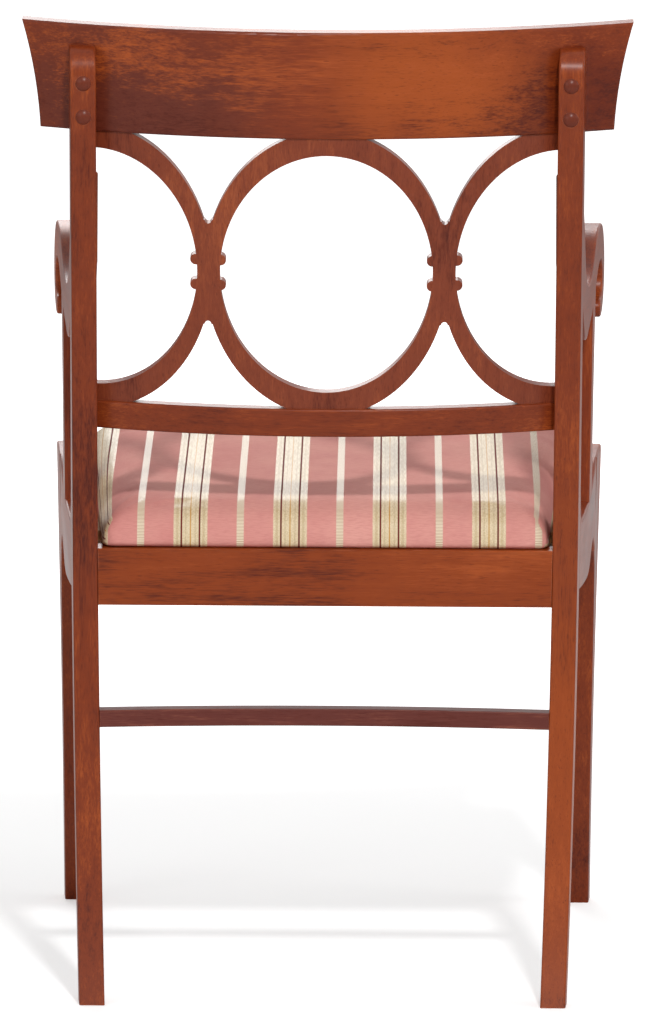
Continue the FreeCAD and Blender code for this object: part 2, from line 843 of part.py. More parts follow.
stretcher = rail_loft(
    stretcher_spot, STRETCHER_DEPTH, STRETCHER_HEIGHT, ARRIS / 2, (-1, -0.5, 0, 0.5, 1)
)

# Dowels, each listed as its diameter, start and end
splay_run = VEC(SPLAY, -1, 0).normalize() * DOWEL_DEPTH
across_run = ACROSS * DOWEL_DEPTH
up_run = UP * DOWEL_DEPTH


def pin(centre, run):
    return (DOWEL_DIAMETER, centre - run, centre + run)


def side_centre(forward, z):
    return at(forward, z, inner_x(forward, z) + SIDE_THICKNESS / 2)


rail_middle = RAIL_THICKNESS / 2
rear_rail_pins = mirrored_pins([
    pin(at(rail_middle, z, inner_x(rail_middle, z)), across_run)
    for z in (SEAT_RAIL_TOP - REAR_RAIL_HEIGHT + DOWEL_MARGIN, SEAT_RAIL_TOP - DOWEL_MARGIN)
])
front_middle = FRAME_DEPTH - RAIL_THICKNESS / 2
front_low = base_height(front_middle) - FRONT_RAIL_HEIGHT
front_rail_pins = mirrored_pins([
    pin(at(front_middle, z, front_inner(z) + front_middle * SPLAY), across_run)
    for z in (front_low + DOWEL_MARGIN, front_low + FRONT_RAIL_HEIGHT - DOWEL_MARGIN)
])
side_rail_pins = mirrored_pins(
    [
        pin(side_centre(REAR_LEG_DEPTH, z), splay_run)
        for z in (side_bottom + 2.1 * DOWEL_MARGIN, side_top - DOWEL_MARGIN)
    ]
    + [
        pin(side_centre(leg_joint, z), splay_run)
        for z in (side_bottom + 2.1 * DOWEL_MARGIN, side_top)
    ]
)
lower_rail_forward = (
    sagitta(HALF_SPREAD) + LOWER_RAIL_THICKNESS / 2
    - BACK_BULGE - LOWER_RAIL_HEIGHT / 2 * math.sin(RAKE)
)
lower_rail_z = back_point(
    0, -sagitta(HALF_SPREAD) - LOWER_RAIL_THICKNESS / 2, LOWER_RAIL_HEIGHT / 2
).z
lower_rail_pins = mirrored_pins([
    pin(
        at(lower_rail_forward, lower_rail_z, inner_x(lower_rail_forward, lower_rail_z)),
        across_run,
    )
])
stretcher_forward = stretcher_rear + STRETCHER_DEPTH / 2
stretcher_z = STRETCHER_BOTTOM + STRETCHER_HEIGHT / 2
stretcher_pins = mirrored_pins([
    pin(at(stretcher_forward, stretcher_z, inner_x(stretcher_forward, stretcher_z)), across_run)
])


def arm_centre(forward, z):
    return at(forward, z, (arm_outer(forward) + arm_inner(forward)) / 2)


arm_pins = mirrored_pins([
    pin(arm_centre(stile_front(z), z), splay_run)
    for z in (ARM_HEIGHT + arm_rise * 0.2, ARM_HEIGHT + arm_rise * 0.65)
])
support_pegs = []
support_centre_in = SIDE_THICKNESS - SUPPORT_THICKNESS / 2
for forward, top in ((SUPPORT_REAR + 14, ARM_HEIGHT - 59), (support_front - 12, ARM_HEIGHT - 49)):
    x = inner_x(forward, side_top) + support_centre_in
    support_pegs.append(pin(at(forward, side_top + 3, x), up_run))
    support_pegs.append(pin(at(forward, top, x + (top - side_top) * CANT), up_run * 0.9))
support_pins = mirrored_pins(support_pegs)

# Plugs and screws that hold the crest rail to the stiles
plug_axis = VEC(0, math.cos(RAKE), -math.sin(RAKE))


def plug_place(side, index):
    z = STILE_TOP - PLUG_TOP_DROP - index * PLUG_SPACING
    x = inner_x(-rear_face(z), z) + SIDE_THICKNESS / 2
    return at(-rear_face(z), z, side * x)


plugs = []
plug_holes = []
crest_screws = []
screw_holes = []
for side in (-1, 1):
    for index in (0, 1):
        face = plug_place(side, index)
        seat_point = face - plug_axis * PLUG_DEPTH
        plug = rod(PLUG_DIAMETER, seat_point, face)
        dome_radius = (PLUG_DIAMETER ** 2 / 4 + PLUG_DOME ** 2) / (2 * PLUG_DOME)
        dome = Part.makeSphere(dome_radius, face + plug_axis * (PLUG_DOME - dome_radius))
        dome = dome.common(rod(PLUG_DIAMETER, face, face + plug_axis * 2 * PLUG_DOME))
        plugs.append(plug.fuse(dome).removeSplitter())
        plug_holes.append(
            rod(PLUG_DIAMETER + 2 * FIT, seat_point, face + plug_axis * PLUG_DOME)
        )
        head_end = seat_point - plug_axis * (SCREW_HEAD_DIAMETER - SCREW_DIAMETER) / 2
        tip = seat_point - plug_axis * CREST_SCREW_LENGTH
        head = Part.makeCone(
            SCREW_HEAD_DIAMETER / 2, SCREW_DIAMETER / 2,
            (seat_point - head_end).Length, seat_point - plug_axis * FIT, plug_axis * -1,
        )
        crest_screws.append(head.fuse(rod(SCREW_DIAMETER, head_end, tip)))
        screw_holes.append(Part.makeCone(
            SCREW_HEAD_DIAMETER / 2 + FIT, SCREW_DIAMETER / 2 + FIT,
            (seat_point - head_end).Length, seat_point, plug_axis * -1,
        ))
        screw_holes.append(rod(SCREW_DIAMETER + 2 * FIT, head_end, tip - plug_axis * END_GAP))

# Corner blocks under the seat
block_top = SEAT_RAIL_TOP - BLOCK_TOP_DROP


def inner_line(forward, z):
    return inner_x(forward, z) - 0.5


def corner_block(rail_front, direction, top):
    """Block in the corner of a rail and a side, reaching along both."""
    far = rail_front + direction * BLOCK_ARM
    low = top - BLOCK_HEIGHT
    heel = inner_line(rail_front, low)
    toe = inner_line(far, low)
    return polygon_prism(
        [
            at(rail_front, low, heel),
            at(far, low, toe),
            at(far, low, toe - 12),
            at(rail_front + direction * 12, low, heel - BLOCK_ARM),
            at(rail_front, low, heel - BLOCK_ARM),
        ],
        UP * BLOCK_HEIGHT,
    )


front_rail_back = FRAME_DEPTH - RAIL_THICKNESS
rear_block = corner_block(RAIL_THICKNESS, 1, block_top)
front_block_top = base_height(front_rail_back - BLOCK_ARM) - BLOCK_TOP_DROP
front_block = corner_block(front_rail_back, -1, front_block_top)
block_screws = []
block_holes = []
for top, rail_face, direction in (
    (block_top, RAIL_THICKNESS, 1), (front_block_top, front_rail_back, -1)
):
    z = top - BLOCK_HEIGHT / 2
    near = rail_face + direction * 12
    x = inner_line(near, z) - BLOCK_ARM + 12
    head = at(near + direction * 2.0, z, x)
    tip = at(rail_face - direction * 14, z, x)
    along = (tip - head).normalize()
    far = rail_face + direction * (BLOCK_ARM - 12)
    side_head = at(far, z, inner_line(far, z) - 14)
    side_tip = at(far, z, inner_line(far, z) + 14)
    for start, end in ((head, tip), (side_head, side_tip)):
        run = (end - start).normalize()
        head_rod = rod(SCREW_HEAD_DIAMETER, start, start + run * 2.5)
        block_screws.append(head_rod.fuse(rod(SCREW_DIAMETER, start, end)))
        block_holes.append(rod(SCREW_HEAD_DIAMETER + 2 * FIT, start - run * 60, start + run * 2.6))
        block_holes.append(rod(SCREW_DIAMETER + 2 * FIT, start, end + run * END_GAP))

# Cleats on the side rails that carry the sides of the seat
cleat_rear = RAIL_THICKNESS + BLOCK_ARM + 8
cleat_front = front_rail_back - BLOCK_ARM - 8
cleat_points = [at(cleat_rear, base_height(cleat_rear)), at(cleat_front, base_height(cleat_front))]
cleat_side = polygon_prism(
    [point + ACROSS * HALF_SPREAD / 2 for point in cleat_points]
    + [point + ACROSS * HALF_SPREAD / 2 - UP * CLEAT_HEIGHT for point in reversed(cleat_points)],
    ACROSS * HALF_SPREAD,
)


def cleat_inner(z):
    return side_inner(z) - CLEAT_WIDTH


cleat = cleat_side.common(splayed_prism(leg_outline(cleat_inner, CLEAT_WIDTH)))
cleat_screws = []
cleat_holes = []
cleat_step = (cleat_front - cleat_rear) / 3
for index in (0, 1, 2):
    forward = cleat_rear + (index + 0.5) * cleat_step
    z = base_height(forward) - CLEAT_HEIGHT / 2
    face_x = inner_x(forward, z)
    start = at(forward, z, face_x - CLEAT_WIDTH)
    end = at(forward, z, face_x + SIDE_THICKNESS / 2)
    run = (end - start).normalize()
    head_rod = rod(SCREW_HEAD_DIAMETER, start, start + run * 2.5)
    cleat_screws.append(head_rod.fuse(rod(SCREW_DIAMETER, start, end)))
    cleat_holes.append(rod(SCREW_HEAD_DIAMETER + 2 * FIT, start - run * 5, start + run * 2.6))
    cleat_holes.append(rod(SCREW_DIAMETER + 2 * FIT, start, end + run * END_GAP))

# Holes
all_pins = (
    rear_rail_pins + front_rail_pins + side_rail_pins + lower_rail_pins + stretcher_pins
    + arm_pins + support_pins
)
left_pins = [item for item in all_pins if item[1].x + item[2].x > 0]
left_drill = holes_for(left_pins)
rear_leg = rear_leg.cut(left_drill).cut(compound(plug_holes + screw_holes + block_holes))
front_leg = front_leg.cut(left_drill).cut(compound(block_holes))
side_rail = side_rail.cut(left_drill).cut(compound(block_holes + cleat_holes))
arm = arm.cut(left_drill)
support = support.cut(left_drill)
crest = crest.cut(compound(screw_holes))
rail_drill = holes_for(rear_rail_pins + front_rail_pins + lower_rail_pins + stretcher_pins)
both_block_holes = compound(pair(compound(block_holes)))
rear_rail = rear_rail.cut(rail_drill).cut(both_block_holes)
front_rail = front_rail.cut(rail_drill).cut(both_block_holes)
lower_rail = lower_rail.cut(rail_drill)
stretcher = stretcher.cut(rail_drill)
rear_block = rear_block.cut(rear_leg_side.common(side_slab)).cut(compound(block_holes))
front_block = front_block.cut(compound(block_holes))
cleat = cleat.cut(compound(cleat_holes))

# Loose seat, drawn level and then laid on the tilted rails: x across, -y forward, z up
SEAT_LENGTH = FRAME_DEPTH / math.cos(math.radians(SEAT_TILT))


def seated(shape):
    shape.rotate(VEC(0, 0, 0), ACROSS, -SEAT_TILT)
    shape.translate(VEC(0, REAR_FACE_Y, SEAT_RAIL_TOP + SEAT_REST_GAP))
    return shape


def seat_half(forward):
    return HALF_SPREAD - SEAT_SIDE_GAP + forward * SPLAY


def pad_section(forward, inset, low, high, crown):
    """Cross section of the pad: flat base, drawn-in sides, rounded corners and a crown."""
    half = seat_half(forward) - inset
    corner = min(PAD_CORNER - inset / 2, (high - low) * 0.75)
    rise = high - corner
    cut = corner * (1 - math.sqrt(0.5))

    def spot(x, z):
        return VEC(x, -forward, z)

    def side(sign):
        return (
            arc(
                spot(sign * (half - PAD_DRAW_IN), low),
                spot(sign * half, (low + rise) * 0.5),
                spot(sign * (half - PAD_DRAW_IN * 0.5), rise),
            ),
            arc(
                spot(sign * (half - PAD_DRAW_IN * 0.5), rise),
                spot(sign * (half - PAD_DRAW_IN * 0.5 - cut), high - cut),
                spot(sign * (half - PAD_DRAW_IN * 0.5 - corner), high),
            ),
        )

    right = side(1)
    left = side(-1)
    top = half - PAD_DRAW_IN * 0.5 - corner
    return Part.Wire([
        line(spot(-half + PAD_DRAW_IN, low), spot(half - PAD_DRAW_IN, low)),
        right[0],
        right[1],
        arc(spot(top, high), spot(0, high + crown), spot(-top, high)),
        left[1],
        left[0],
    ])


def pad_form(inset, low):
    """The pad as one loft from its rear edge, over the crown, to its front edge."""
    corner = PAD_CORNER - inset / 2
    high = PAD_THICKNESS - inset
    ends = []
    for share in (0.0, 0.12, 0.45, 1.0):
        drop = corner * (1 - math.sqrt(1 - (1 - share) ** 2))
        ends.append((inset + corner * share, high - drop, PAD_CROWN * 0.3))
    middle = [
        (SEAT_LENGTH * 0.28, high, PAD_CROWN * 0.9),
        (SEAT_LENGTH * 0.5, high, PAD_CROWN),
        (SEAT_LENGTH * 0.72, high, PAD_CROWN * 0.9),
    ]
    stations = ends + middle
    stations += [(SEAT_LENGTH - place, top, crown) for place, top, crown in reversed(ends)]
    sections = [pad_section(place, inset, low, top, crown) for place, top, crown in stations]
    return Part.makeLoft(sections, True, False)


def pad_above(inset, level):
    """The pad form drawn in by an inset, kept above a level."""
    box = Part.makeBox(FAR, FAR, FAR, VEC(-FAR / 2, -FAR * 0.75, level))
    return pad_form(inset, -COVER_THICKNESS).common(box)


frame_base = COVER_THICKNESS + FIT
frame_top = frame_base + SEAT_FRAME_THICKNESS
webbing_base = frame_top
second_webbing = webbing_base + WEBBING_THICKNESS + FIT
padding_base = second_webbing + WEBBING_THICKNESS + FIT


def seat_slab(inset, low, high):
    """Level slab with the plan of the seat, drawn in all round."""
    rear = inset
    front = SEAT_LENGTH - inset
    points = [
        VEC(seat_half(rear) - inset, -rear, low), VEC(seat_half(front) - inset, -front, low),
        VEC(inset - seat_half(front), -front, low), VEC(inset - seat_half(rear), -rear, low),
    ]
    return polygon_prism(points, UP * (high - low))


padding = pad_above(COVER_THICKNESS + FIT, frame_base)
padding = padding.cut(seat_slab(SEAT_FRAME_INSET - FIT, 0, padding_base))
cover_opening = seat_slab(COVER_RETURN, -COVER_THICKNESS, 2 * COVER_THICKNESS)
cover = pad_above(0, 0).cut(pad_above(COVER_THICKNESS, COVER_THICKNESS)).cut(cover_opening)
dust_cover = seat_slab(COVER_RETURN + END_GAP, frame_base - DUST_COVER_THICKNESS - FIT, frame_base - FIT)

# Wooden frame of the seat: side members between the front and rear members
frame_outer = seat_slab(SEAT_FRAME_INSET, frame_base, frame_top)
rear_member_front = SEAT_FRAME_INSET + SEAT_FRAME_WIDTH
front_member_back = SEAT_LENGTH - SEAT_FRAME_INSET - SEAT_FRAME_WIDTH


def depth_slice(start, end):
    return Part.makeBox(FAR, end - start, FAR, VEC(-FAR / 2, -end, -FAR / 2))


rear_member = frame_outer.common(depth_slice(-10, rear_member_front))
front_member = frame_outer.common(depth_slice(front_member_back, SEAT_LENGTH + 10))
side_points = []
for forward, shift in (
    (rear_member_front, 0), (front_member_back, 0),
    (front_member_back, SEAT_FRAME_WIDTH), (rear_member_front, SEAT_FRAME_WIDTH),
):
    x = seat_half(forward) - SEAT_FRAME_INSET - shift
    side_points.append(VEC(x, -forward, frame_base))
side_member = polygon_prism(side_points, UP * SEAT_FRAME_THICKNESS)
seat_pins = []
frame_middle = frame_base + SEAT_FRAME_THICKNESS / 2
for forward in (rear_member_front, front_member_back):
    for shift in (SEAT_FRAME_WIDTH * 0.3, SEAT_FRAME_WIDTH * 0.7):
        x = seat_half(forward) - SEAT_FRAME_INSET - shift
        centre = VEC(x, -forward, frame_middle)
        seat_pins.append((DOWEL_DIAMETER, centre + splay_run, centre - splay_run))
seat_pins = mirrored_pins(seat_pins)

# Webbing, tacked to the frame under the padding
lengthwise = []
crosswise = []
tack_points = []
tack_margin = SEAT_FRAME_WIDTH / 2 + SEAT_FRAME_INSET


def tack(point):
    head = rod(TACK_HEAD, point, point + UP * TACK_HEAD_THICKNESS)
    return head.fuse(rod(TACK_DIAMETER, point + UP * FIT, point - UP * TACK_LENGTH))


def tack_point(x, forward, strip_base):
    return VEC(x, -forward, strip_base + WEBBING_THICKNESS + FIT)


strip_ends = SEAT_FRAME_INSET + 6
for index in (-1, 0, 1):
    centre = index * WEBBING_PITCH
    lengthwise.append(Part.makeBox(
        WEBBING_WIDTH, SEAT_LENGTH - 2 * strip_ends, WEBBING_THICKNESS,
        VEC(centre - WEBBING_WIDTH / 2, strip_ends - SEAT_LENGTH, webbing_base),
    ))
    forward = SEAT_LENGTH / 2 + centre
    half = seat_half(forward - WEBBING_WIDTH / 2) - strip_ends
    crosswise.append(Part.makeBox(
        2 * half, WEBBING_WIDTH, WEBBING_THICKNESS,
        VEC(-half, -forward - WEBBING_WIDTH / 2, second_webbing),
    ))
    for shift in (-WEBBING_WIDTH / 3, WEBBING_WIDTH / 3):
        for place in (tack_margin, SEAT_LENGTH - tack_margin):
            tack_points.append(tack_point(centre + shift, place, webbing_base))
        for side in (-1, 1):
            x = side * (seat_half(forward) - tack_margin)
            tack_points.append(tack_point(x, forward + shift, second_webbing))
tacks = [tack(point) for point in tack_points]
tack_space = compound([
    rod(TACK_DIAMETER + 2 * FIT, point, point - UP * (TACK_LENGTH + END_GAP))
    for point in tack_points
])
tack_heads = compound([
    rod(TACK_HEAD + 2 * END_GAP, point - UP, point + UP * (TACK_HEAD_THICKNESS + END_GAP))
    for point in tack_points
])
lengthwise = compound(lengthwise).cut(tack_space)
crosswise = compound(crosswise).cut(tack_space)
frame_drill = compound([holes_for(seat_pins), tack_space])
rear_member = rear_member.cut(frame_drill)
front_member = front_member.cut(frame_drill)
side_member = side_member.cut(frame_drill)
padding = padding.cut(tack_heads)

# Staples that hold the cover's return and the dust cover
staples = []
staple_line = COVER_RETURN - STAPLE_MARGIN
for index in range(STAPLES_PER_SIDE):
    forward = SEAT_LENGTH * (index + 1) / (STAPLES_PER_SIDE + 1)
    x = seat_half(forward) - staple_line
    for side in (-1, 1):
        corner = VEC(
            side * x - STAPLE_THICKNESS / 2, -forward - STAPLE_WIDTH / 2, COVER_THICKNESS
        )
        staples.append(Part.makeBox(STAPLE_THICKNESS, STAPLE_WIDTH, STAPLE_DEPTH, corner))
cover_staples = compound(staples)
side_member = side_member.cut(cover_staples)
front_member = front_member.cut(cover_staples)
rear_member = rear_member.cut(cover_staples)

NODES = {
    "left_rear_leg": rear_leg,
    "right_rear_leg": mirrored(rear_leg),
    "left_front_leg": front_leg,
    "right_front_leg": mirrored(front_leg),
    "left_side_rail": side_rail,
    "right_side_rail": mirrored(side_rail),
    "rear_seat_rail": rear_rail,
    "front_seat_rail": front_rail,
    "crest_rail": crest,
    "lower_back_rail": lower_rail,
    "ring_splat": splat,
    "rear_stretcher": stretcher,
    "left_arm": arm,
    "right_arm": mirrored(arm),
    "left_arm_support": support,
    "right_arm_support": mirrored(support),
    "crest_plugs": compound(plugs),
    "crest_screws": compound(crest_screws),
    "rear_left_corner_block": rear_block,
    "rear_right_corner_block": mirrored(rear_block),
    "front_left_corner_block": front_block,
    "front_right_corner_block": mirrored(front_block),
    "corner_block_screws": compound(block_screws + [mirrored(item) for item in block_screws]),
    "left_seat_cleat": cleat,
    "right_seat_cleat": mirrored(cleat),
    "cleat_screws": compound(cleat_screws + [mirrored(item) for item in cleat_screws]),
    "rear_rail_dowels": compound(rods_for(rear_rail_pins)),
    "front_rail_dowels": compound(rods_for(front_rail_pins)),
    "side_rail_dowels": compound(rods_for(side_rail_pins)),
    "lower_rail_dowels": compound(rods_for(lower_rail_pins)),
    "stretcher_dowels": compound(rods_for(stretcher_pins)),
    "arm_dowels": compound(rods_for(arm_pins)),
    "support_dowels": compound(rods_for(support_pins)),
    "seat_rear_member": seated(rear_member),
    "seat_front_member": seated(front_member),
    "seat_left_member": seated(side_member.copy()),
    "seat_right_member": seated(mirrored(side_member)),
    "seat_frame_dowels": seated(compound(rods_for(seat_pins))),
    "lengthwise_webbing": seated(lengthwise),
    "crosswise_webbing": seated(crosswise),
    "webbing_tacks": seated(compound(tacks)),
    "seat_padding": seated(padding),
    "seat_cover": seated(cover),
    "dust_cover": seated(dust_cover),
    "cover_staples": seated(cover_staples),
}

os.makedirs("parts", exist_ok=True)
for name, shape in NODES.items():
    shape.exportStep(f"parts/{name}.step")
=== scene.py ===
import json
import math
import bpy
import numpy as np
from mathutils import Matrix, Vector


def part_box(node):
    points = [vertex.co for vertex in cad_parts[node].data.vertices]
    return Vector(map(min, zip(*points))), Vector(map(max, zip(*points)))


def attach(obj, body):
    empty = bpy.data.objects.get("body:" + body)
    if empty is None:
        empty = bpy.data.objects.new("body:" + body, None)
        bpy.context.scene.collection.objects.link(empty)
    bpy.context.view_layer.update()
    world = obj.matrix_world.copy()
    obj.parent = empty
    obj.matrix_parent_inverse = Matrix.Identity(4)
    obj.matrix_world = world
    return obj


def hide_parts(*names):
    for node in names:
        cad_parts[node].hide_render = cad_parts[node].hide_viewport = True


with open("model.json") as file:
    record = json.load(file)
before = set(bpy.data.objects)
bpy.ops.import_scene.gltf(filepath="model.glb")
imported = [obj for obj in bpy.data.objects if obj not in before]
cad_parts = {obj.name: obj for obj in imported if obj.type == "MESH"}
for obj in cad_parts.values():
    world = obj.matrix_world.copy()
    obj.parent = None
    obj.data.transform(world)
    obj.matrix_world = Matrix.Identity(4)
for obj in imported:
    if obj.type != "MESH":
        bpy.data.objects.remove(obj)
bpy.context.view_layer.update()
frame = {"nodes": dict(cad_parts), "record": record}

# Camera: behind the chair at standing eye level, angles in degrees, lens and sensor in mm
CAMERA_PLACE = (-0.0582, 8.2078, 1.6)
CAMERA_PITCH = 8.164
CAMERA_YAW = 0.373
CAMERA_ROLL = 0.30
CAMERA_LENS = 307.1
SENSOR_WIDTH = 36

# Lamps: place, the point they face, width and power
LAMPS = {
    "key": ((-0.75, 4.3, 4.0), (0, 0, 0.5), 0.4, 130),
    "fill": ((3.2, 3.6, 2.0), (0, 0, 0.5), 2.4, 18),
    "side": ((-3.6, 0.6, 2.2), (0, 0, 0.5), 2.2, 22),
    "front": ((0.8, -4.2, 2.6), (0, 0, 0.4), 2.6, 70),
}
WORLD_LIGHT = 0.33

# Floor: half its width, its grey, and its glow from near the chair to far away
FLOOR_REACH = 40.0
FLOOR_GREY = (0.93, 0.93, 0.93, 1)
GLOW_START, GLOW_END = 0.7, 2.6
GLOW_NEAR, GLOW_FAR = 0.4, 0.9

# Loose seat, in the level frame of the seat: x across, y from the rear edge to the front
SEAT_TILT = math.radians(2.54)
SEAT_REAR_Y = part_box("rear_seat_rail")[1].y
SEAT_BASE_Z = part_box("seat_cover")[0].z
SEAT_LENGTH = 0.42842
SEAT_REAR_HALF = 0.2089
SEAT_SPLAY = 0.07045
EDGE_GAP = 0.0002

# Pad: height, crown, rise to the front, rolled edge, drawn-in sides, corners and samples
PAD_HEIGHT = 0.034
PAD_CROWN = 0.0035
PAD_RISE = 0.0115
ROLL_IN = 0.022
ROLL_START = 0.008
DRAW_IN = 0.001
PAD_SHRINK = 0.0022
CORNER_AT_EDGE = 0.009
CORNER_GROWTH = 0.4
CORNER_LIMIT = 0.05
PAD_SAMPLES = 256
VOXEL = 0.0042

# Swelling of the pad as cloth: pressure, stiffness, frames, height held, furthest move
PRESSURE = 4
STIFFNESS = 25
LAST_FRAME = 20
HELD_HEIGHT = 0.003
SWELL_CAP = 0.0028

# Puckers at the rear and front edges: heights, reach, depth and lengths of the two waves
PUCKER_TOP, PUCKER_FULL, PUCKER_FOOT = 0.016, 0.003, 0.002
PUCKER_REACH = 0.02
PUCKER_DEPTH = 0.0004
PUCKER_SHORT, PUCKER_LONG = 0.031, 0.083

# Dust cloth: inset from the seat's outline, sag, ripple, thickness and grid
DUST_INSET = 0.0205
DUST_SAG = 0.0022
DUST_RIPPLE = 0.0003
DUST_THICKNESS = 0.0005
DUST_COLUMNS, DUST_ROWS = 65, 61

# Striped cloth, in metres across the seat
STRIPE_REPEAT = 0.0922
NARROW_STRIPE_AT = -0.0133
NARROW_STRIPE = 0.0066
WIDE_STRIPE = 0.0313
STRIPE_SOFT = 0.0003
RIB_PITCH = 0.0017
SATIN_COAT = 0.34

# Lines of the wide stripe: distance from its middle, half width and softness
TAN_LINE = (0.0122, 0.0012, 0.0008)
INNER_LINE = (0.0045, 0.0007, 0.0006)
GOLD_LINE = (0.0, 0.0005, 0.0003)
DARK_LINE = (0.0084, 0.0008, 0.0003)

# Pitch of the threads of each weave
THREAD_PITCH = 0.0008
WEBBING_PITCH = 0.0022
WADDING_PITCH = 0.003
CAMBRIC_PITCH = 0.0012

# Grain layers: stretch along the grain, scale, detail, roughness, distortion, share of the tone
GRAIN_LAYERS = {
    "cloud": (0.2, 16, 3, 0.5, 0.4, 1.0),
    "streak": (0.05, 170, 3, 0.6, 0.0, 0.8),
    "thread": (0.07, 760, 2, 0.7, 0.0, 0.85),
    "blotch": (1, 8, 3, 0.6, 0.0, 0.9),
}
PORE_STRETCH, PORE_SCALE, PORE_DEPTH = 0.07, 1300, 0.5
TURNS = {"x": (0, math.pi / 2, 0), "y": (math.pi / 2, 0, 0), "z": (0, 0, 0)}
NODE_GRAIN = {
    "crest_rail": "x", "lower_back_rail": "x", "rear_stretcher": "x", "rear_seat_rail": "x",
    "front_seat_rail": "x", "left_side_rail": "y", "right_side_rail": "y",
    "left_arm": "y", "right_arm": "y",
}
GRAIN_SHIFT = (0.37, 0.61, 0.23)
# Edge mask: bevel radius, and strength of the pale rubbed edges, which are partly wear and partly painted
# highlights on the arrises
EDGE_RADIUS = 0.0022
EDGE_WEAR_AND_HIGHLIGHT = 0.35


# Camera and light
def aim_camera():
    """Camera basis from pitch, yaw and roll: it looks along -Y, turned about Z, then rolled."""
    pitch, yaw, roll = (math.radians(a) for a in (CAMERA_PITCH, CAMERA_YAW, CAMERA_ROLL))
    turn = Matrix.Rotation(yaw, 3, "Z")
    ahead = turn @ Vector((0, -math.cos(pitch), -math.sin(pitch)))
    level = turn @ Vector((-1, 0, 0))
    upright = level.cross(ahead)
    right = math.cos(roll) * level + math.sin(roll) * upright
    up = math.cos(roll) * upright - math.sin(roll) * level
    data = bpy.data.cameras.new("camera")
    data.lens = CAMERA_LENS
    data.sensor_width = SENSOR_WIDTH
    data.clip_end = 100
    camera = bpy.data.objects.new("camera", data)
    bpy.context.scene.collection.objects.link(camera)
    basis = Matrix((right, up, -ahead)).transposed()
    camera.matrix_world = Matrix.Translation(CAMERA_PLACE) @ basis.to_4x4()
    bpy.context.scene.camera = camera


def soft_light(name, place, target, size, power):
    """Round soft lamp turned to the point it faces."""
    data = bpy.data.lights.new(name, "AREA")
    data.shape = "DISK"
    data.size = size
    data.energy = power
    lamp = bpy.data.objects.new(name, data)
    bpy.context.scene.collection.objects.link(lamp)
    lamp.location = place
    lamp.rotation_mode = "QUATERNION"
    lamp.rotation_quaternion = (Vector(target) - Vector(place)).to_track_quat("-Z", "Y")


def white_world():
    """White to camera, glossy and transmission rays, and a softer even light to the others."""
    world = bpy.data.worlds.new("white studio")
    bpy.context.scene.world = world
    world.use_nodes = True
    tree = Tree(world.node_tree)
    back = tree.nodes["Background"]
    back.inputs["Color"].default_value = (1, 1, 1, 1)
    path = tree.put("ShaderNodeLightPath").outputs
    mirrored = tree.math("MAXIMUM", path["Is Glossy Ray"], path["Is Transmission Ray"])
    seen = tree.math("MAXIMUM", path["Is Camera Ray"], mirrored)
    level = tree.put("ShaderNodeMapRange", Value=seen, To_Min=WORLD_LIGHT, To_Max=1.0)
    tree.give(back.inputs["Strength"], level.outputs["Result"])


# Node helpers
class Tree:
    """A node tree in which nodes are placed and linked by calls."""

    COLOUR_A, COLOUR_B, COLOUR_RESULT = 6, 7, 2

    def __init__(self, tree):
        self.nodes = tree.nodes
        self.links = tree.links

    def put(self, kind, **inputs):
        """New node; inputs are given by name, with _ for a space."""
        node = self.nodes.new(kind)
        for name, value in inputs.items():
            self.give(node.inputs[name.replace("_", " ")], value)
        return node

    def give(self, socket, value):
        """Link a socket to an input, or set the input to a plain value."""
        if isinstance(value, bpy.types.NodeSocket):
            self.links.new(value, socket)
        else:
            socket.default_value = value

    def give_all(self, sockets, values):
        """Give each input its value, in order."""
        for socket, value in zip(sockets, values):
            self.give(socket, value)

    def object_place(self):
        """Object coordinates."""
        return self.put("ShaderNodeTexCoord").outputs["Object"]

    def math(self, operation, *values, clamp=False):
        """Result of one sum on plain numbers or sockets."""
        node = self.nodes.new("ShaderNodeMath")
        node.operation = operation
        node.use_clamp = clamp
        self.give_all(node.inputs, values)
        return node.outputs[0]

    def total(self, values):
        """Several values added up."""
        result = values[0]
        for value in values[1:]:
            result = self.math("ADD", result, value)
        return result

    def vector_math(self, operation, *values):
        """Outputs of one sum on vectors."""
        node = self.nodes.new("ShaderNodeVectorMath")
        node.operation = operation
        self.give_all(node.inputs, values)
        return node.outputs

    def scaled(self, vector, by):
        """Vector multiplied part by part."""
        return self.vector_math("MULTIPLY", vector, by)[0]

    def noise(self, vector, scale, detail=2.0, roughness=0.5, distortion=0.0):
        """Noise between nothing and one."""
        node = self.put(
            "ShaderNodeTexNoise", Vector=vector, Scale=scale, Detail=detail,
            Roughness=roughness, Distortion=distortion,
        )
        return node.outputs["Fac"]

    def step(self, value, low, high, to_low=0.0, to_high=1.0):
        """Smooth step between two values, from one level to another."""
        node = self.nodes.new("ShaderNodeMapRange")
        node.interpolation_type = "SMOOTHSTEP"
        names = ("Value", "From Min", "From Max", "To Min", "To Max")
        self.give_all([node.inputs[name] for name in names], (value, low, high, to_low, to_high))
        return node.outputs["Result"]

    def mix(self, factor, first, second):
        """Colour between two others."""
        node = self.nodes.new("ShaderNodeMix")
        node.data_type = "RGBA"
        self.give(node.inputs["Factor"], factor)
        self.give(node.inputs[self.COLOUR_A], first)
        self.give(node.inputs[self.COLOUR_B], second)
        return node.outputs[self.COLOUR_RESULT]

    def bump(self, height, strength, distance, **inputs):
        """Normal tilted by a height."""
        node = self.put("ShaderNodeBump", Strength=strength, Distance=distance, Height=height, **inputs)
        return node.outputs["Normal"]

    def use(self, group, **inputs):
        """Outputs of a node group placed with its own values."""
        node = self.nodes.new("ShaderNodeGroup")
        node.node_tree = group
        for name, value in inputs.items():
            self.give(node.inputs[name], value)
        return node.outputs


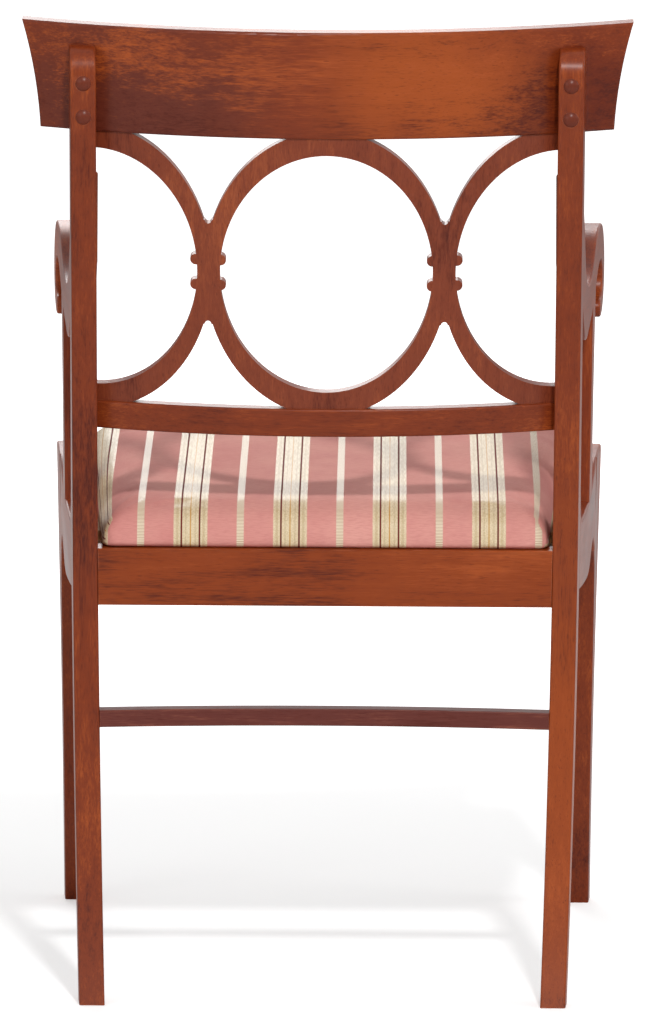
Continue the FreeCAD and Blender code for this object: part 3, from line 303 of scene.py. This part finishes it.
def rgb(red, green, blue):
    """Linear colour from the numbers of a paint chart, 0 to 255."""
    values = np.array([red, green, blue]) / 255.0
    linear = np.where(values <= 0.04045, values / 12.92, ((values + 0.055) / 1.055) ** 2.4)
    return (*linear.tolist(), 1.0)


def new_group(name, inputs, outputs):
    """Node group with named sockets: the group, its tree, what it is given and what it puts out."""
    group = bpy.data.node_groups.new(name, "ShaderNodeTree")
    for way, sockets in (("INPUT", inputs), ("OUTPUT", outputs)):
        for label, kind in sockets.items():
            group.interface.new_socket(label, in_out=way, socket_type="NodeSocket" + kind)
    given = group.nodes.new("NodeGroupInput").outputs
    out = group.nodes.new("NodeGroupOutput").inputs
    return group, Tree(group), given, out


def new_material(name):
    """Material, its tree and its Principled shader."""
    material = bpy.data.materials.new(name)
    material.use_nodes = True
    tree = Tree(material.node_tree)
    return material, tree, tree.nodes["Principled BSDF"]


# Effects that several finishes share
def wood_grain_group():
    """Figure, streaks and pores of mahogany whose grain runs along the vector's third axis."""
    inputs = {"Vector": "Vector", "Dark": "Color", "Middle": "Color", "Bright": "Color", "Figure": "Float"}
    outputs = {"Color": "Color", "Gloss": "Float", "Height": "Float"}
    group, tree, given, out = new_group("wood grain", inputs, outputs)
    layers = {}
    shares = []
    for name, (stretch, scale, detail, rough, bend, share) in GRAIN_LAYERS.items():
        stretched = tree.scaled(given["Vector"], (1, 1, stretch))
        layers[name] = tree.noise(stretched, scale, detail, rough, bend)
        shares.append(tree.math("MULTIPLY", tree.math("SUBTRACT", layers[name], 0.5), share))
    tone = tree.math("MULTIPLY_ADD", tree.total(shares), given["Figure"], 0.5, clamp=True)
    low = tree.mix(tree.step(tone, 0.05, 0.5), given["Dark"], given["Middle"])
    colour = tree.mix(tree.step(tone, 0.5, 0.98), low, given["Bright"])
    pore = tree.noise(tree.scaled(given["Vector"], (1, 1, PORE_STRETCH)), PORE_SCALE, 1, 0.5)
    pit = tree.step(pore, 0.38, 0.26)
    ridge = tree.math("MULTIPLY", layers["streak"], 0.5)
    tree.give(out["Color"], tree.mix(tree.math("MULTIPLY", pit, PORE_DEPTH), colour, given["Dark"]))
    tree.give(out["Gloss"], tree.step(layers["cloud"], 0.25, 0.75))
    tree.give(out["Height"], tree.math("SUBTRACT", ridge, tree.math("MULTIPLY", pit, 0.6)))
    return group


def edge_wear_and_highlight_group():
    """Masks of rubbed edges and nicks: where the rounded normal leaves the true one, in patches. The
    rubbed edges are partly wear and partly painted highlights along the arrises; the nicks are wear.
    """
    inputs = {"Vector": "Vector", "Radius": "Float"}
    group, tree, given, out = new_group("edge wear", inputs, {"Mask": "Float", "Nicks": "Float"})
    bevel = tree.put("ShaderNodeBevel", Radius=given["Radius"])
    bevel.samples = 6
    true = tree.put("ShaderNodeNewGeometry").outputs["Normal"]
    agree = tree.vector_math("DOT_PRODUCT", bevel.outputs[0], true)["Value"]
    edge = tree.step(agree, 0.985, 0.90)
    patch = tree.noise(given["Vector"], 55, 4, 0.7)
    small = tree.noise(given["Vector"], 420, 2, 0.6)
    nick = tree.math("MULTIPLY", tree.step(small, 0.66, 0.74), tree.step(patch, 0.52, 0.66))
    tree.give(out["Mask"], tree.math("MULTIPLY", edge, tree.step(patch, 0.42, 0.62)))
    tree.give(out["Nicks"], tree.math("MULTIPLY", edge, nick))
    return group


def light_and_tone_spot_group():
    """Mask of a coloured spot laid on in the back view: full near its centre, nothing at its reach. On the
    crest these marks are painted shade and a painted highlight.
    """
    inputs = {"Vector": "Vector", "Centre": "Vector", "Reach": "Float"}
    group, tree, given, out = new_group("tint spot", inputs, {"Mask": "Float"})
    flat, centre = (tree.scaled(given[name], (1, 0, 1.5)) for name in ("Vector", "Centre"))
    away = tree.vector_math("DISTANCE", flat, centre)["Value"]
    drift = tree.math("MULTIPLY_ADD", tree.noise(given["Vector"], 11, 3, 0.6), 0.8, -0.4)
    wander = tree.math("MULTIPLY", drift, given["Reach"])
    full = tree.math("MULTIPLY", given["Reach"], 0.15)
    near = tree.step(tree.math("ADD", away, wander), given["Reach"], full)
    tree.give(out["Mask"], tree.math("MULTIPLY", near, 0.85))
    return group


def weave_group():
    """Thread height of a plain weave: two crossed sine waves of one pitch, multiplied."""
    inputs = {"Across": "Float", "Along": "Float", "Pitch": "Float"}
    group, tree, given, out = new_group("plain weave", inputs, {"Height": "Float"})
    turn = tree.math("DIVIDE", 2 * math.pi, given["Pitch"])
    over = tree.math("SINE", tree.math("MULTIPLY", given["Across"], turn))
    under = tree.math("SINE", tree.math("MULTIPLY", given["Along"], turn))
    tree.give(out["Height"], tree.math("MULTIPLY", over, under))
    return group


GRAIN = wood_grain_group()
RUB_AND_HIGHLIGHT = edge_wear_and_highlight_group()
LIGHT_AND_TONE_SPOT = light_and_tone_spot_group()
WEAVE = weave_group()


# Wood and steel
def grain_place(tree, run, offset):
    """Object coordinates, plain and turned so that the grain runs along their third axis."""
    where = tree.object_place()
    turned = tree.put("ShaderNodeMapping", Vector=where, Rotation=TURNS[run], Location=offset)
    return where, turned.outputs["Vector"]


def polished_wood(name, run, offset, dark, middle, bright, figure=0.9, light_and_tone_spots=(), wear_and_highlight=EDGE_WEAR_AND_HIGHLIGHT):
    """Stained mahogany under a semi-gloss clear coat; each spot holds a centre, a reach and a tint, and on
    the crest they are painted shade and a painted highlight.
    """
    material, tree, shader = new_material(name)
    where, grain = grain_place(tree, run, offset)
    # Each spot is mixed into the middle tone; on the crest these are painted shade on the left and a
    # painted highlight right of the middle
    for (x, z), reach, tint in light_and_tone_spots:
        near = tree.use(LIGHT_AND_TONE_SPOT, Vector=where, Centre=(x, 0, z), Reach=reach)["Mask"]
        middle = tree.mix(near, middle, tint)
    wood = tree.use(GRAIN, Vector=grain, Dark=dark, Middle=middle, Bright=bright, Figure=figure)
    worn_and_highlit = tree.use(RUB_AND_HIGHLIGHT, Vector=where, Radius=EDGE_RADIUS)
    # Pale rubbed edges: partly wear, partly painted highlights along the arrises; the paler nicks are wear
    rubbed_and_highlit = tree.math("MULTIPLY", worn_and_highlit["Mask"], wear_and_highlight)
    nicked = tree.math("MULTIPLY", worn_and_highlit["Nicks"], wear_and_highlight * 2)
    colour = tree.mix(rubbed_and_highlit, wood["Color"], rgb(196, 120, 88))
    tree.give(shader.inputs["Base Color"], tree.mix(nicked, colour, rgb(232, 190, 160)))
    tree.give(shader.inputs["Roughness"], tree.step(wood["Gloss"], 0, 1, 0.30, 0.42))
    shader.inputs["Specular IOR Level"].default_value = 0.02
    shader.inputs["Coat Weight"].default_value = 0.45
    shader.inputs["Coat Roughness"].default_value = 0.31
    tree.give(shader.inputs["Normal"], tree.bump(wood["Height"], 0.12, 0.0004))
    return material


def plain_wood(name, run, offset, dark, middle, bright):
    """Unfinished hardwood of hidden blocks, cleats, dowels and the seat's frame."""
    material, tree, shader = new_material(name)
    grain = grain_place(tree, run, offset)[1]
    wood = tree.use(GRAIN, Vector=grain, Dark=dark, Middle=middle, Bright=bright, Figure=0.8)
    tree.give(shader.inputs["Base Color"], wood["Color"])
    shader.inputs["Roughness"].default_value = 0.7
    tree.give(shader.inputs["Normal"], tree.bump(wood["Height"], 0.35, 0.0006))
    return material


def steel(name):
    """Grey steel with fine scratches."""
    material, tree, shader = new_material(name)
    scratch = tree.noise(tree.object_place(), 900, 3, 0.6)
    tree.give(shader.inputs["Base Color"], tree.mix(scratch, rgb(120, 118, 112), rgb(176, 174, 168)))
    tree.give(shader.inputs["Roughness"], tree.step(scratch, 0.2, 0.8, 0.28, 0.5))
    shader.inputs["Metallic"].default_value = 1.0
    return material


# Cloth
def woven(name, first, second, pitch):
    """Plain woven cloth or webbing in two thread colours."""
    material, tree, shader = new_material(name)
    where = tree.object_place()
    split = tree.put("ShaderNodeSeparateXYZ", Vector=where).outputs
    height = tree.use(WEAVE, Across=split[0], Along=split[1], Pitch=pitch)["Height"]
    cloud = tree.math("MULTIPLY", tree.noise(where, 40, 3, 0.6), 0.4)
    factor = tree.math("ADD", tree.step(height, -1, 1, 0, 0.6), cloud)
    tree.give(shader.inputs["Base Color"], tree.mix(factor, first, second))
    shader.inputs["Roughness"].default_value = 0.9
    tree.give(shader.inputs["Normal"], tree.bump(height, 0.5, 0.0004))
    return material


def to_stripe(tree, across, centre):
    """Distance to the nearest stripe of the repeat that has one at this centre."""
    shifted = tree.math("SUBTRACT", across, centre + STRIPE_REPEAT / 2)
    turn = tree.math("WRAP", shifted, STRIPE_REPEAT / 2, -STRIPE_REPEAT / 2)
    return tree.math("SUBTRACT", STRIPE_REPEAT / 2, tree.math("ABSOLUTE", turn))


def band_mask(tree, distance, half, soft=STRIPE_SOFT):
    """One nearer than a half width and nothing past it, with a soft edge."""
    return tree.step(distance, half + soft, half - soft)


def line_mask(tree, distance, place, half, soft):
    """Band mask of a line on both sides of a stripe, at a distance from its middle."""
    off = tree.math("ABSOLUTE", tree.math("SUBTRACT", distance, place))
    return band_mask(tree, off, half, soft)


def salmon_ground(tree, where):
    """Matte salmon colour, faded in clouds and flecked along the weft."""
    fade = tree.noise(where, 7, 3, 0.6)
    pick = tree.noise(tree.scaled(where, (0.12, 1, 1)), 1300, 2, 0.5)
    ground = tree.mix(tree.step(fade, 0.3, 0.7), rgb(222, 148, 140), rgb(238, 172, 160))
    return tree.mix(tree.step(pick, 0.35, 0.75, 0, 0.35), ground, rgb(204, 122, 120))


def wide_stripe(tree, where, off_middle):
    """Cream satin with tan, gold and dark lines, and the mask of the dark lines."""
    slub = tree.noise(tree.scaled(where, (1, 0.05, 1)), 900, 2, 0.5)
    tan_line, inner_line, gold_line, dark_line = (
        line_mask(tree, off_middle, *line) for line in (TAN_LINE, INNER_LINE, GOLD_LINE, DARK_LINE)
    )
    cream = tree.mix(tree.step(slub, 0.3, 0.7), rgb(218, 194, 154), rgb(240, 222, 188))
    cream = tree.mix(tree.math("MULTIPLY", tan_line, 0.45), cream, rgb(196, 166, 120))
    cream = tree.mix(tree.math("MULTIPLY", inner_line, 0.35), cream, rgb(190, 160, 112))
    cream = tree.mix(gold_line, cream, rgb(206, 150, 62))
    return tree.mix(dark_line, cream, rgb(122, 52, 44)), dark_line


def striped_cloth():
    """Salmon ground with satin stripes, laid out by the cloth attribute: across and along."""
    material, tree, shader = new_material("striped_cloth")
    place = tree.put("ShaderNodeAttribute")
    place.attribute_name = "cloth"
    across, along = tree.put("ShaderNodeSeparateXYZ", Vector=place.outputs["Vector"]).outputs[:2]
    where = tree.object_place()
    wide_off = to_stripe(tree, across, NARROW_STRIPE_AT + STRIPE_REPEAT / 2)
    wide = band_mask(tree, wide_off, WIDE_STRIPE / 2)
    narrow = band_mask(tree, to_stripe(tree, across, NARROW_STRIPE_AT), NARROW_STRIPE / 2)
    cream, dark_line = wide_stripe(tree, where, wide_off)
    rib = tree.math("SINE", tree.math("MULTIPLY", along, 2 * math.pi / RIB_PITCH))
    ladder = tree.mix(tree.step(rib, -0.6, 0.4), rgb(204, 168, 134), rgb(246, 232, 206))
    colour = tree.mix(wide, salmon_ground(tree, where), cream)
    tree.give(shader.inputs["Base Color"], tree.mix(narrow, colour, ladder))
    bright = tree.math("MULTIPLY", wide, tree.math("SUBTRACT", 1.0, dark_line))
    satin = tree.math("MAXIMUM", narrow, bright)
    tree.give(shader.inputs["Roughness"], tree.step(satin, 0, 1, 0.78, 0.4))
    tree.give(shader.inputs["Coat Weight"], tree.math("MULTIPLY", satin, SATIN_COAT))
    shader.inputs["Coat Roughness"].default_value = 0.4
    shader.inputs["Specular IOR Level"].default_value = 0.05
    shader.inputs["Sheen Weight"].default_value = 0.05
    shader.inputs["Sheen Roughness"].default_value = 0.4
    threads = tree.use(WEAVE, Across=across, Along=along, Pitch=THREAD_PITCH)["Height"]
    relief = tree.total([
        tree.math("MULTIPLY", threads, tree.math("MULTIPLY_ADD", satin, -0.13, 0.16)),
        tree.math("MULTIPLY", tree.math("MULTIPLY", narrow, rib), 0.3),
        tree.math("MULTIPLY", satin, 0.5),
    ])
    fine = tree.bump(relief, 0.35, 0.0003)
    ripple = tree.noise(where, 26, 2, 0.5)
    tree.give(shader.inputs["Normal"], tree.bump(ripple, 0.25, 0.002, Normal=fine))
    return material


# Meshes
def link_mesh(name, verts, faces):
    """Smooth-shaded mesh object from points and lists of point numbers."""
    mesh = bpy.data.meshes.new(name)
    mesh.from_pydata(verts.tolist(), [], faces)
    mesh.update()
    mesh.shade_smooth()
    obj = bpy.data.objects.new(name, mesh)
    bpy.context.scene.collection.objects.link(obj)
    return obj


def apply_modifiers(obj):
    """Put the shape that the modifiers give into the mesh, and clear them."""
    depsgraph = bpy.context.evaluated_depsgraph_get()
    mesh = bpy.data.meshes.new_from_object(obj.evaluated_get(depsgraph))
    old = obj.data
    obj.modifiers.clear()
    obj.data = mesh
    bpy.data.meshes.remove(old)


def mesh_points(obj):
    """Points of a mesh, one row each."""
    points = np.empty(len(obj.data.vertices) * 3)
    obj.data.vertices.foreach_get("co", points)
    return points.reshape(-1, 3)


def set_points(obj, points):
    """Put points back into a mesh."""
    obj.data.vertices.foreach_set("co", points.astype(np.float32).ravel())
    obj.data.update()


def smooth(value, low, high):
    """Smooth step from nothing at one value to one at the other."""
    t = np.clip((value - low) / (high - low), 0, 1)
    return t * t * (3 - 2 * t)


def make_floor():
    """Pale floor that keeps the chair's shadow and is clear when seen from below."""
    size = FLOOR_REACH
    corners = np.array([[-size, -size, 0], [size, -size, 0], [size, size, 0], [-size, size, 0]])
    floor = link_mesh("floor", corners, [[0, 1, 2, 3]])
    floor.data.shade_flat()
    material, tree, shader = new_material("pale_floor")
    shader.inputs["Base Color"].default_value = FLOOR_GREY
    shader.inputs["Roughness"].default_value = 0.9
    shader.inputs["Specular IOR Level"].default_value = 0.1
    shader.inputs["Emission Color"].default_value = (1, 1, 1, 1)
    away = tree.vector_math("LENGTH", tree.object_place())["Value"]
    glow = tree.step(away, GLOW_START, GLOW_END, GLOW_NEAR, GLOW_FAR)
    to_camera = tree.put("ShaderNodeLightPath").outputs["Is Camera Ray"]
    tree.give(shader.inputs["Emission Strength"], tree.math("MULTIPLY", to_camera, glow))
    below = tree.put("ShaderNodeNewGeometry").outputs["Backfacing"]
    clear = tree.put("ShaderNodeBsdfTransparent").outputs[0]
    blend = tree.put("ShaderNodeMixShader")
    tree.give_all(blend.inputs, (below, shader.outputs[0], clear))
    tree.give(tree.nodes["Material Output"].inputs["Surface"], blend.outputs[0])
    floor.data.materials.append(material)


# Seat shapes
def seat_half(along):
    """Half the seat's width, which grows in proportion to the way from the rear edge."""
    return SEAT_REAR_HALF + along * SEAT_SPLAY


def seat_to_world(points):
    """Level seat coordinates laid on the tilted rails: turned about the rear edge, then raised."""
    x, y, z = points.T
    rear = -y * math.cos(SEAT_TILT) + z * math.sin(SEAT_TILT)
    high = y * math.sin(SEAT_TILT) + z * math.cos(SEAT_TILT)
    return np.stack([x, SEAT_REAR_Y + rear, SEAT_BASE_Z + high], axis=1)


def world_to_seat(points):
    """Level seat coordinates again: lowered, then turned back about the rear edge."""
    rear = points[:, 1] - SEAT_REAR_Y
    high = points[:, 2] - SEAT_BASE_Z
    y = -rear * math.cos(SEAT_TILT) + high * math.sin(SEAT_TILT)
    z = rear * math.sin(SEAT_TILT) + high * math.cos(SEAT_TILT)
    return np.stack([points[:, 0], y, z], axis=1)


def rounded_border(share, half_x, half_y, corner):
    """Border of a rectangle by the share of its length, its corners pulled onto circles."""
    quarter = share * 4 % 4
    side = np.floor(quarter).astype(int)
    run = (quarter - side) * 2 - 1
    one = np.ones_like(run)
    x = np.choose(side, [run, one, -run, -one]) * half_x
    y = np.choose(side, [-one, run, one, -run]) * half_y
    core_x = np.clip(x, corner - half_x, half_x - corner)
    core_y = np.clip(y, corner - half_y, half_y - corner)
    dx, dy = x - core_x, y - core_y
    length = np.maximum(np.hypot(dx, dy), 1e-9)
    return core_x + dx / length * corner, core_y + dy / length * corner


def pad_ring(share, inset, height, on_top):
    """One ring of the pad: a rounded trapezoid at an inset and a height.

    The sides draw in by a parabola between the corners. The height gains the rise, in
    proportion to the way forward, and on top the crown, which falls to nothing at the edges.
    """
    half_y = SEAT_LENGTH / 2
    half_x = seat_half(half_y)
    hx, hy = half_x - inset - PAD_SHRINK, half_y - inset - PAD_SHRINK
    corner = min(CORNER_AT_EDGE + inset * CORNER_GROWTH, CORNER_LIMIT, hx * 0.99, hy * 0.99)
    x, y = rounded_border(share, hx, hy, corner)
    pull = DRAW_IN * (1 - on_top)
    on_side, on_end = np.abs(x) > hx * 0.9, np.abs(y) > hy * 0.9
    x = x - np.sign(x) * pull * (1 - np.clip(np.abs(y) / half_y, 0, 1) ** 2) * on_side
    y = y - np.sign(y) * pull * (1 - np.clip(np.abs(x) / half_x, 0, 1) ** 2) * on_end
    along = half_y + y
    x = x * (seat_half(along) - inset) / (half_x - inset)
    crown = PAD_CROWN * (1 - np.abs(x / seat_half(along)) ** 12) * (1 - np.abs(y / half_y) ** 5)
    rise = PAD_RISE * (along / SEAT_LENGTH) * np.clip(height / PAD_HEIGHT, 0, 1)
    return np.stack([x, along, height + rise + crown * on_top], axis=1)


def pad_profile():
    """Inset, height and share of the crown of each ring, from the middle of the base.

    Over the flat base the rings run outwards, turn up at the edge, follow a quarter ellipse
    over the roll, and run inwards over the top.
    """
    rings = [(inset, 0.0, 0.0) for inset in np.linspace(0.19, 0.006, 26)]
    rings += [(0.0016, 0.0004, 0.0), (0.0004, 0.0022, 0.0)]
    for angle in np.linspace(0, math.pi / 2, 13):
        height = ROLL_START + (PAD_HEIGHT - ROLL_START) * math.sin(angle)
        rings.append((ROLL_IN * (1 - math.cos(angle)), height, math.sin(angle) ** 3))
    rings += [(inset, PAD_HEIGHT, 1.0) for inset in np.linspace(ROLL_IN + 0.006, 0.2, 28)]
    return rings


def grid_faces(first, after_column, after_row, after_both):
    """Quads as lists of point numbers, from the four corner numbers of each."""
    return np.stack([first, after_column, after_both, after_row], axis=-1).reshape(-1, 4).tolist()


def ring_faces(count, samples):
    """Quads between neighbouring rings, and one face that closes each end."""
    ring, place = np.meshgrid(np.arange(count - 1), np.arange(samples), indexing="ij")
    low, high = ring * samples, (ring + 1) * samples
    after = (place + 1) % samples
    faces = grid_faces(low + place, low + after, high + place, high + after)
    last = (count - 1) * samples
    return faces + [list(range(samples - 1, -1, -1)), list(range(last, last + samples))]


def swell(obj):
    """Cloth under pressure, held along its base; no point moves past the cap."""
    start = mesh_points(obj)
    held = obj.vertex_groups.new(name="held")
    held.add(np.flatnonzero(world_to_seat(start)[:, 2] < HELD_HEIGHT).tolist(), 1.0, "REPLACE")
    cloth = obj.modifiers.new("cloth", "CLOTH")
    cloth.settings.use_pressure = True
    cloth.settings.uniform_pressure_force = PRESSURE
    cloth.settings.vertex_group_mass = "held"
    cloth.settings.tension_stiffness = STIFFNESS
    cloth.settings.compression_stiffness = STIFFNESS
    cloth.settings.effector_weights.gravity = 0
    cloth.collision_settings.use_collision = False
    cloth.point_cache.frame_start = 1
    cloth.point_cache.frame_end = LAST_FRAME
    scene = bpy.context.scene
    for number in range(1, LAST_FRAME + 1):
        scene.frame_set(number)
    apply_modifiers(obj)
    scene.frame_set(1)
    moved = mesh_points(obj) - start
    length = np.linalg.norm(moved, axis=1, keepdims=True)
    moved *= SWELL_CAP * np.tanh(length / SWELL_CAP) / np.maximum(length, 1e-9)
    set_points(obj, start + moved)
    obj.vertex_groups.clear()


def keep_in_place(level):
    """Hold the points inside the seat's own outline and above its base."""
    half = seat_half(np.clip(level[:, 1], 0, SEAT_LENGTH))
    level[:, 0] = np.clip(level[:, 0], EDGE_GAP - half, half - EDGE_GAP)
    level[:, 1] = np.clip(level[:, 1], EDGE_GAP, SEAT_LENGTH - EDGE_GAP)
    level[:, 2] = np.maximum(level[:, 2], 0.0)


def pucker(level):
    """Small puckers where the cover is pulled down over the rear and front edges.

    Two sine waves across the seat, multiplied, move the points inwards near the foot.
    """
    x, y, z = level.T
    low = smooth(z, PUCKER_TOP, PUCKER_FULL) * smooth(z, 0.0, PUCKER_FOOT)
    phase = x * 2 * math.pi
    waves = np.sin(phase / PUCKER_SHORT) * np.sin(phase / PUCKER_LONG + 1.0)
    edge = np.where(y < PUCKER_REACH, 1.0, 0.0) - np.where(y > SEAT_LENGTH - PUCKER_REACH, 1.0, 0.0)
    level[:, 1] = np.maximum(y + edge * low * PUCKER_DEPTH * (1 + waves), EDGE_GAP)


def lay_cloth(obj, level):
    """Cloth place of each point: across and along the seat, with the drop down the edges added.

    Past the start of the roll the length runs along the arc, whose angle comes from the
    distance out and the height, and below the bulge it runs straight down.
    """
    tall = PAD_HEIGHT - ROLL_START
    arc = (ROLL_IN + tall) / 2
    x, y, z = level.T

    def wrapped(out):
        """Length of cloth past the start of the roll."""
        up = np.clip(z - ROLL_START, 1e-6, None) / tall
        angle = np.arctan2(np.clip(out, 0, None) / ROLL_IN, up)
        return np.where(out > 0, angle * arc + np.clip(ROLL_START - z, 0, None), 0.0)

    middle = SEAT_LENGTH / 2
    off = y - middle
    flat_x, flat_y = seat_half(y) - ROLL_IN, middle - ROLL_IN
    out_x, out_y = np.abs(x) - flat_x, np.abs(off) - flat_y
    over_side = np.sign(x) * (np.minimum(np.abs(x), flat_x) + wrapped(out_x))
    over_end = np.sign(off) * (np.minimum(np.abs(off), flat_y) + wrapped(out_y))
    side_face = out_x > out_y
    across = np.where(side_face, over_side, x)
    along = np.where(side_face, off, over_end)
    cloth = np.stack([across, along, np.zeros_like(x)], axis=1)
    attribute = obj.data.attributes.new("cloth", "FLOAT_VECTOR", "POINT")
    attribute.data.foreach_set("vector", cloth.astype(np.float32).ravel())


def make_cushion():
    """Crowned, tightly covered pad; swollen as cloth, then kept inside the seat's own place."""
    share = (np.arange(PAD_SAMPLES) + 0.5) / PAD_SAMPLES
    profile = pad_profile()
    points = np.concatenate([pad_ring(share, *ring) for ring in profile])
    pad = link_mesh("seat_cushion", seat_to_world(points), ring_faces(len(profile), PAD_SAMPLES))
    remesh = pad.modifiers.new("even", "REMESH")
    remesh.mode = "VOXEL"
    remesh.voxel_size = VOXEL
    apply_modifiers(pad)
    swell(pad)
    finer = pad.modifiers.new("finer", "SUBSURF")
    finer.levels = finer.render_levels = 1
    apply_modifiers(pad)
    level = world_to_seat(mesh_points(pad))
    keep_in_place(level)
    pucker(level)
    set_points(pad, seat_to_world(level))
    pad.data.shade_smooth()
    lay_cloth(pad, level)
    pad.data.materials.append(striped_cloth())
    return pad


def make_dust_cloth():
    """Thin cloth under the seat: a trapezoid grid that sags by a product of parabolas.

    With it come its flat width and length, and the area of the trapezoid.
    """
    across, along = np.meshgrid(np.linspace(-1, 1, DUST_COLUMNS), np.linspace(0, 1, DUST_ROWS))
    length = SEAT_LENGTH - 2 * DUST_INSET
    y = DUST_INSET + along * length
    x = across * (seat_half(y) - DUST_INSET)
    bow = (1 - across ** 2) * 4 * along * (1 - along)
    ripple = DUST_RIPPLE * np.sin(across * 34) * np.sin(along * math.pi * 3)
    z = EDGE_GAP - bow * (DUST_SAG + ripple)
    points = np.stack([x, y, z], axis=-1).reshape(-1, 3)
    row, column = np.meshgrid(np.arange(DUST_ROWS - 1), np.arange(DUST_COLUMNS - 1), indexing="ij")
    first = row * DUST_COLUMNS + column
    above = first + DUST_COLUMNS
    cloth = link_mesh("dust_cloth", seat_to_world(points), grid_faces(first, first + 1, above, above + 1))
    thick = cloth.modifiers.new("thickness", "SOLIDIFY")
    thick.thickness = DUST_THICKNESS
    thick.offset = 0
    cloth.data.materials.append(
        woven("dust_cloth_black", rgb(18, 18, 20), rgb(46, 46, 48), CAMBRIC_PITCH)
    )
    width = 2 * (seat_half(SEAT_LENGTH) - DUST_INSET)
    area = length * (seat_half(0) + seat_half(SEAT_LENGTH) - 2 * DUST_INSET)
    return cloth, (width, length), area


# Finishes of the CAD nodes
DARK = rgb(84, 28, 14)
MIDDLE = rgb(130, 53, 22)
BRIGHT = rgb(174, 82, 34)
PURPLE = rgb(106, 50, 42)
POLISH = {
    # Crest: painted shade on the left, a darker spot at the right end, and a painted orange highlight just
    # right of the middle
    "crest_rail": {"light_and_tone_spots": [
        ((0.19, 0.84), 0.22, rgb(100, 44, 32)),
        ((-0.24, 0.84), 0.13, rgb(108, 38, 14)),
        ((-0.095, 0.855), 0.15, rgb(172, 80, 26)),
    ]},
    "rear_stretcher": {"middle": PURPLE, "bright": rgb(150, 84, 66)},
    "right_rear_leg": {"figure": 0.8, "light_and_tone_spots": [((-0.22, 0.2), 0.55, rgb(160, 72, 26))]},
    "rear_seat_rail": {"middle": rgb(146, 62, 20), "figure": 0.85},
    "ring_splat": {
        "middle": rgb(132, 60, 36), "bright": rgb(166, 84, 48), "figure": 0.8, "wear_and_highlight": 0.12,
    },
    "crest_plugs": {"middle": rgb(112, 46, 26), "bright": MIDDLE, "figure": 0.6, "wear_and_highlight": 0.0},
}
SLOTS = {row["node"]: row["material_slot"] for row in frame["record"]["subparts"]}


def finish_of(name, index):
    """Material of a CAD node by its slot; every wooden piece has its own place in the figure."""
    run = NODE_GRAIN.get(name, "z")
    offset = tuple(step * index for step in GRAIN_SHIFT)
    slot = SLOTS[name]
    if slot == "polished_wood":
        tones = {"dark": DARK, "middle": MIDDLE, "bright": BRIGHT, **POLISH.get(name, {})}
        return polished_wood(name, run, offset, **tones)
    if slot == "plain_wood":
        return plain_wood(name, run, offset, rgb(150, 112, 74), rgb(188, 150, 104), rgb(214, 182, 138))
    if slot == "steel":
        return steel(name)
    if slot == "webbing":
        return woven(name, rgb(150, 122, 84), rgb(196, 172, 130), WEBBING_PITCH)
    if slot == "padding":
        return woven(name, rgb(222, 214, 196), rgb(240, 234, 220), WADDING_PITCH)
    return woven(name, rgb(22, 22, 24), rgb(44, 44, 46), CAMBRIC_PITCH)


def dress_nodes():
    """Each CAD node gets its own finish."""
    for index, (name, node) in enumerate(sorted(frame["nodes"].items())):
        node.data.materials.clear()
        node.data.materials.append(finish_of(name, index))


# Build
aim_camera()
white_world()
for lamp_name, (place, target, size, power) in LAMPS.items():
    soft_light(lamp_name, place, target, size, power)
make_floor()
dress_nodes()

cushion = make_cushion()
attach(cushion, "seat")
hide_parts("seat_cover", "seat_padding")

dust_cloth, flat, area = make_dust_cloth()
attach(dust_cloth, "seat")
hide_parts("dust_cover")

view = bpy.context.scene.view_settings
view.view_transform = "Standard"
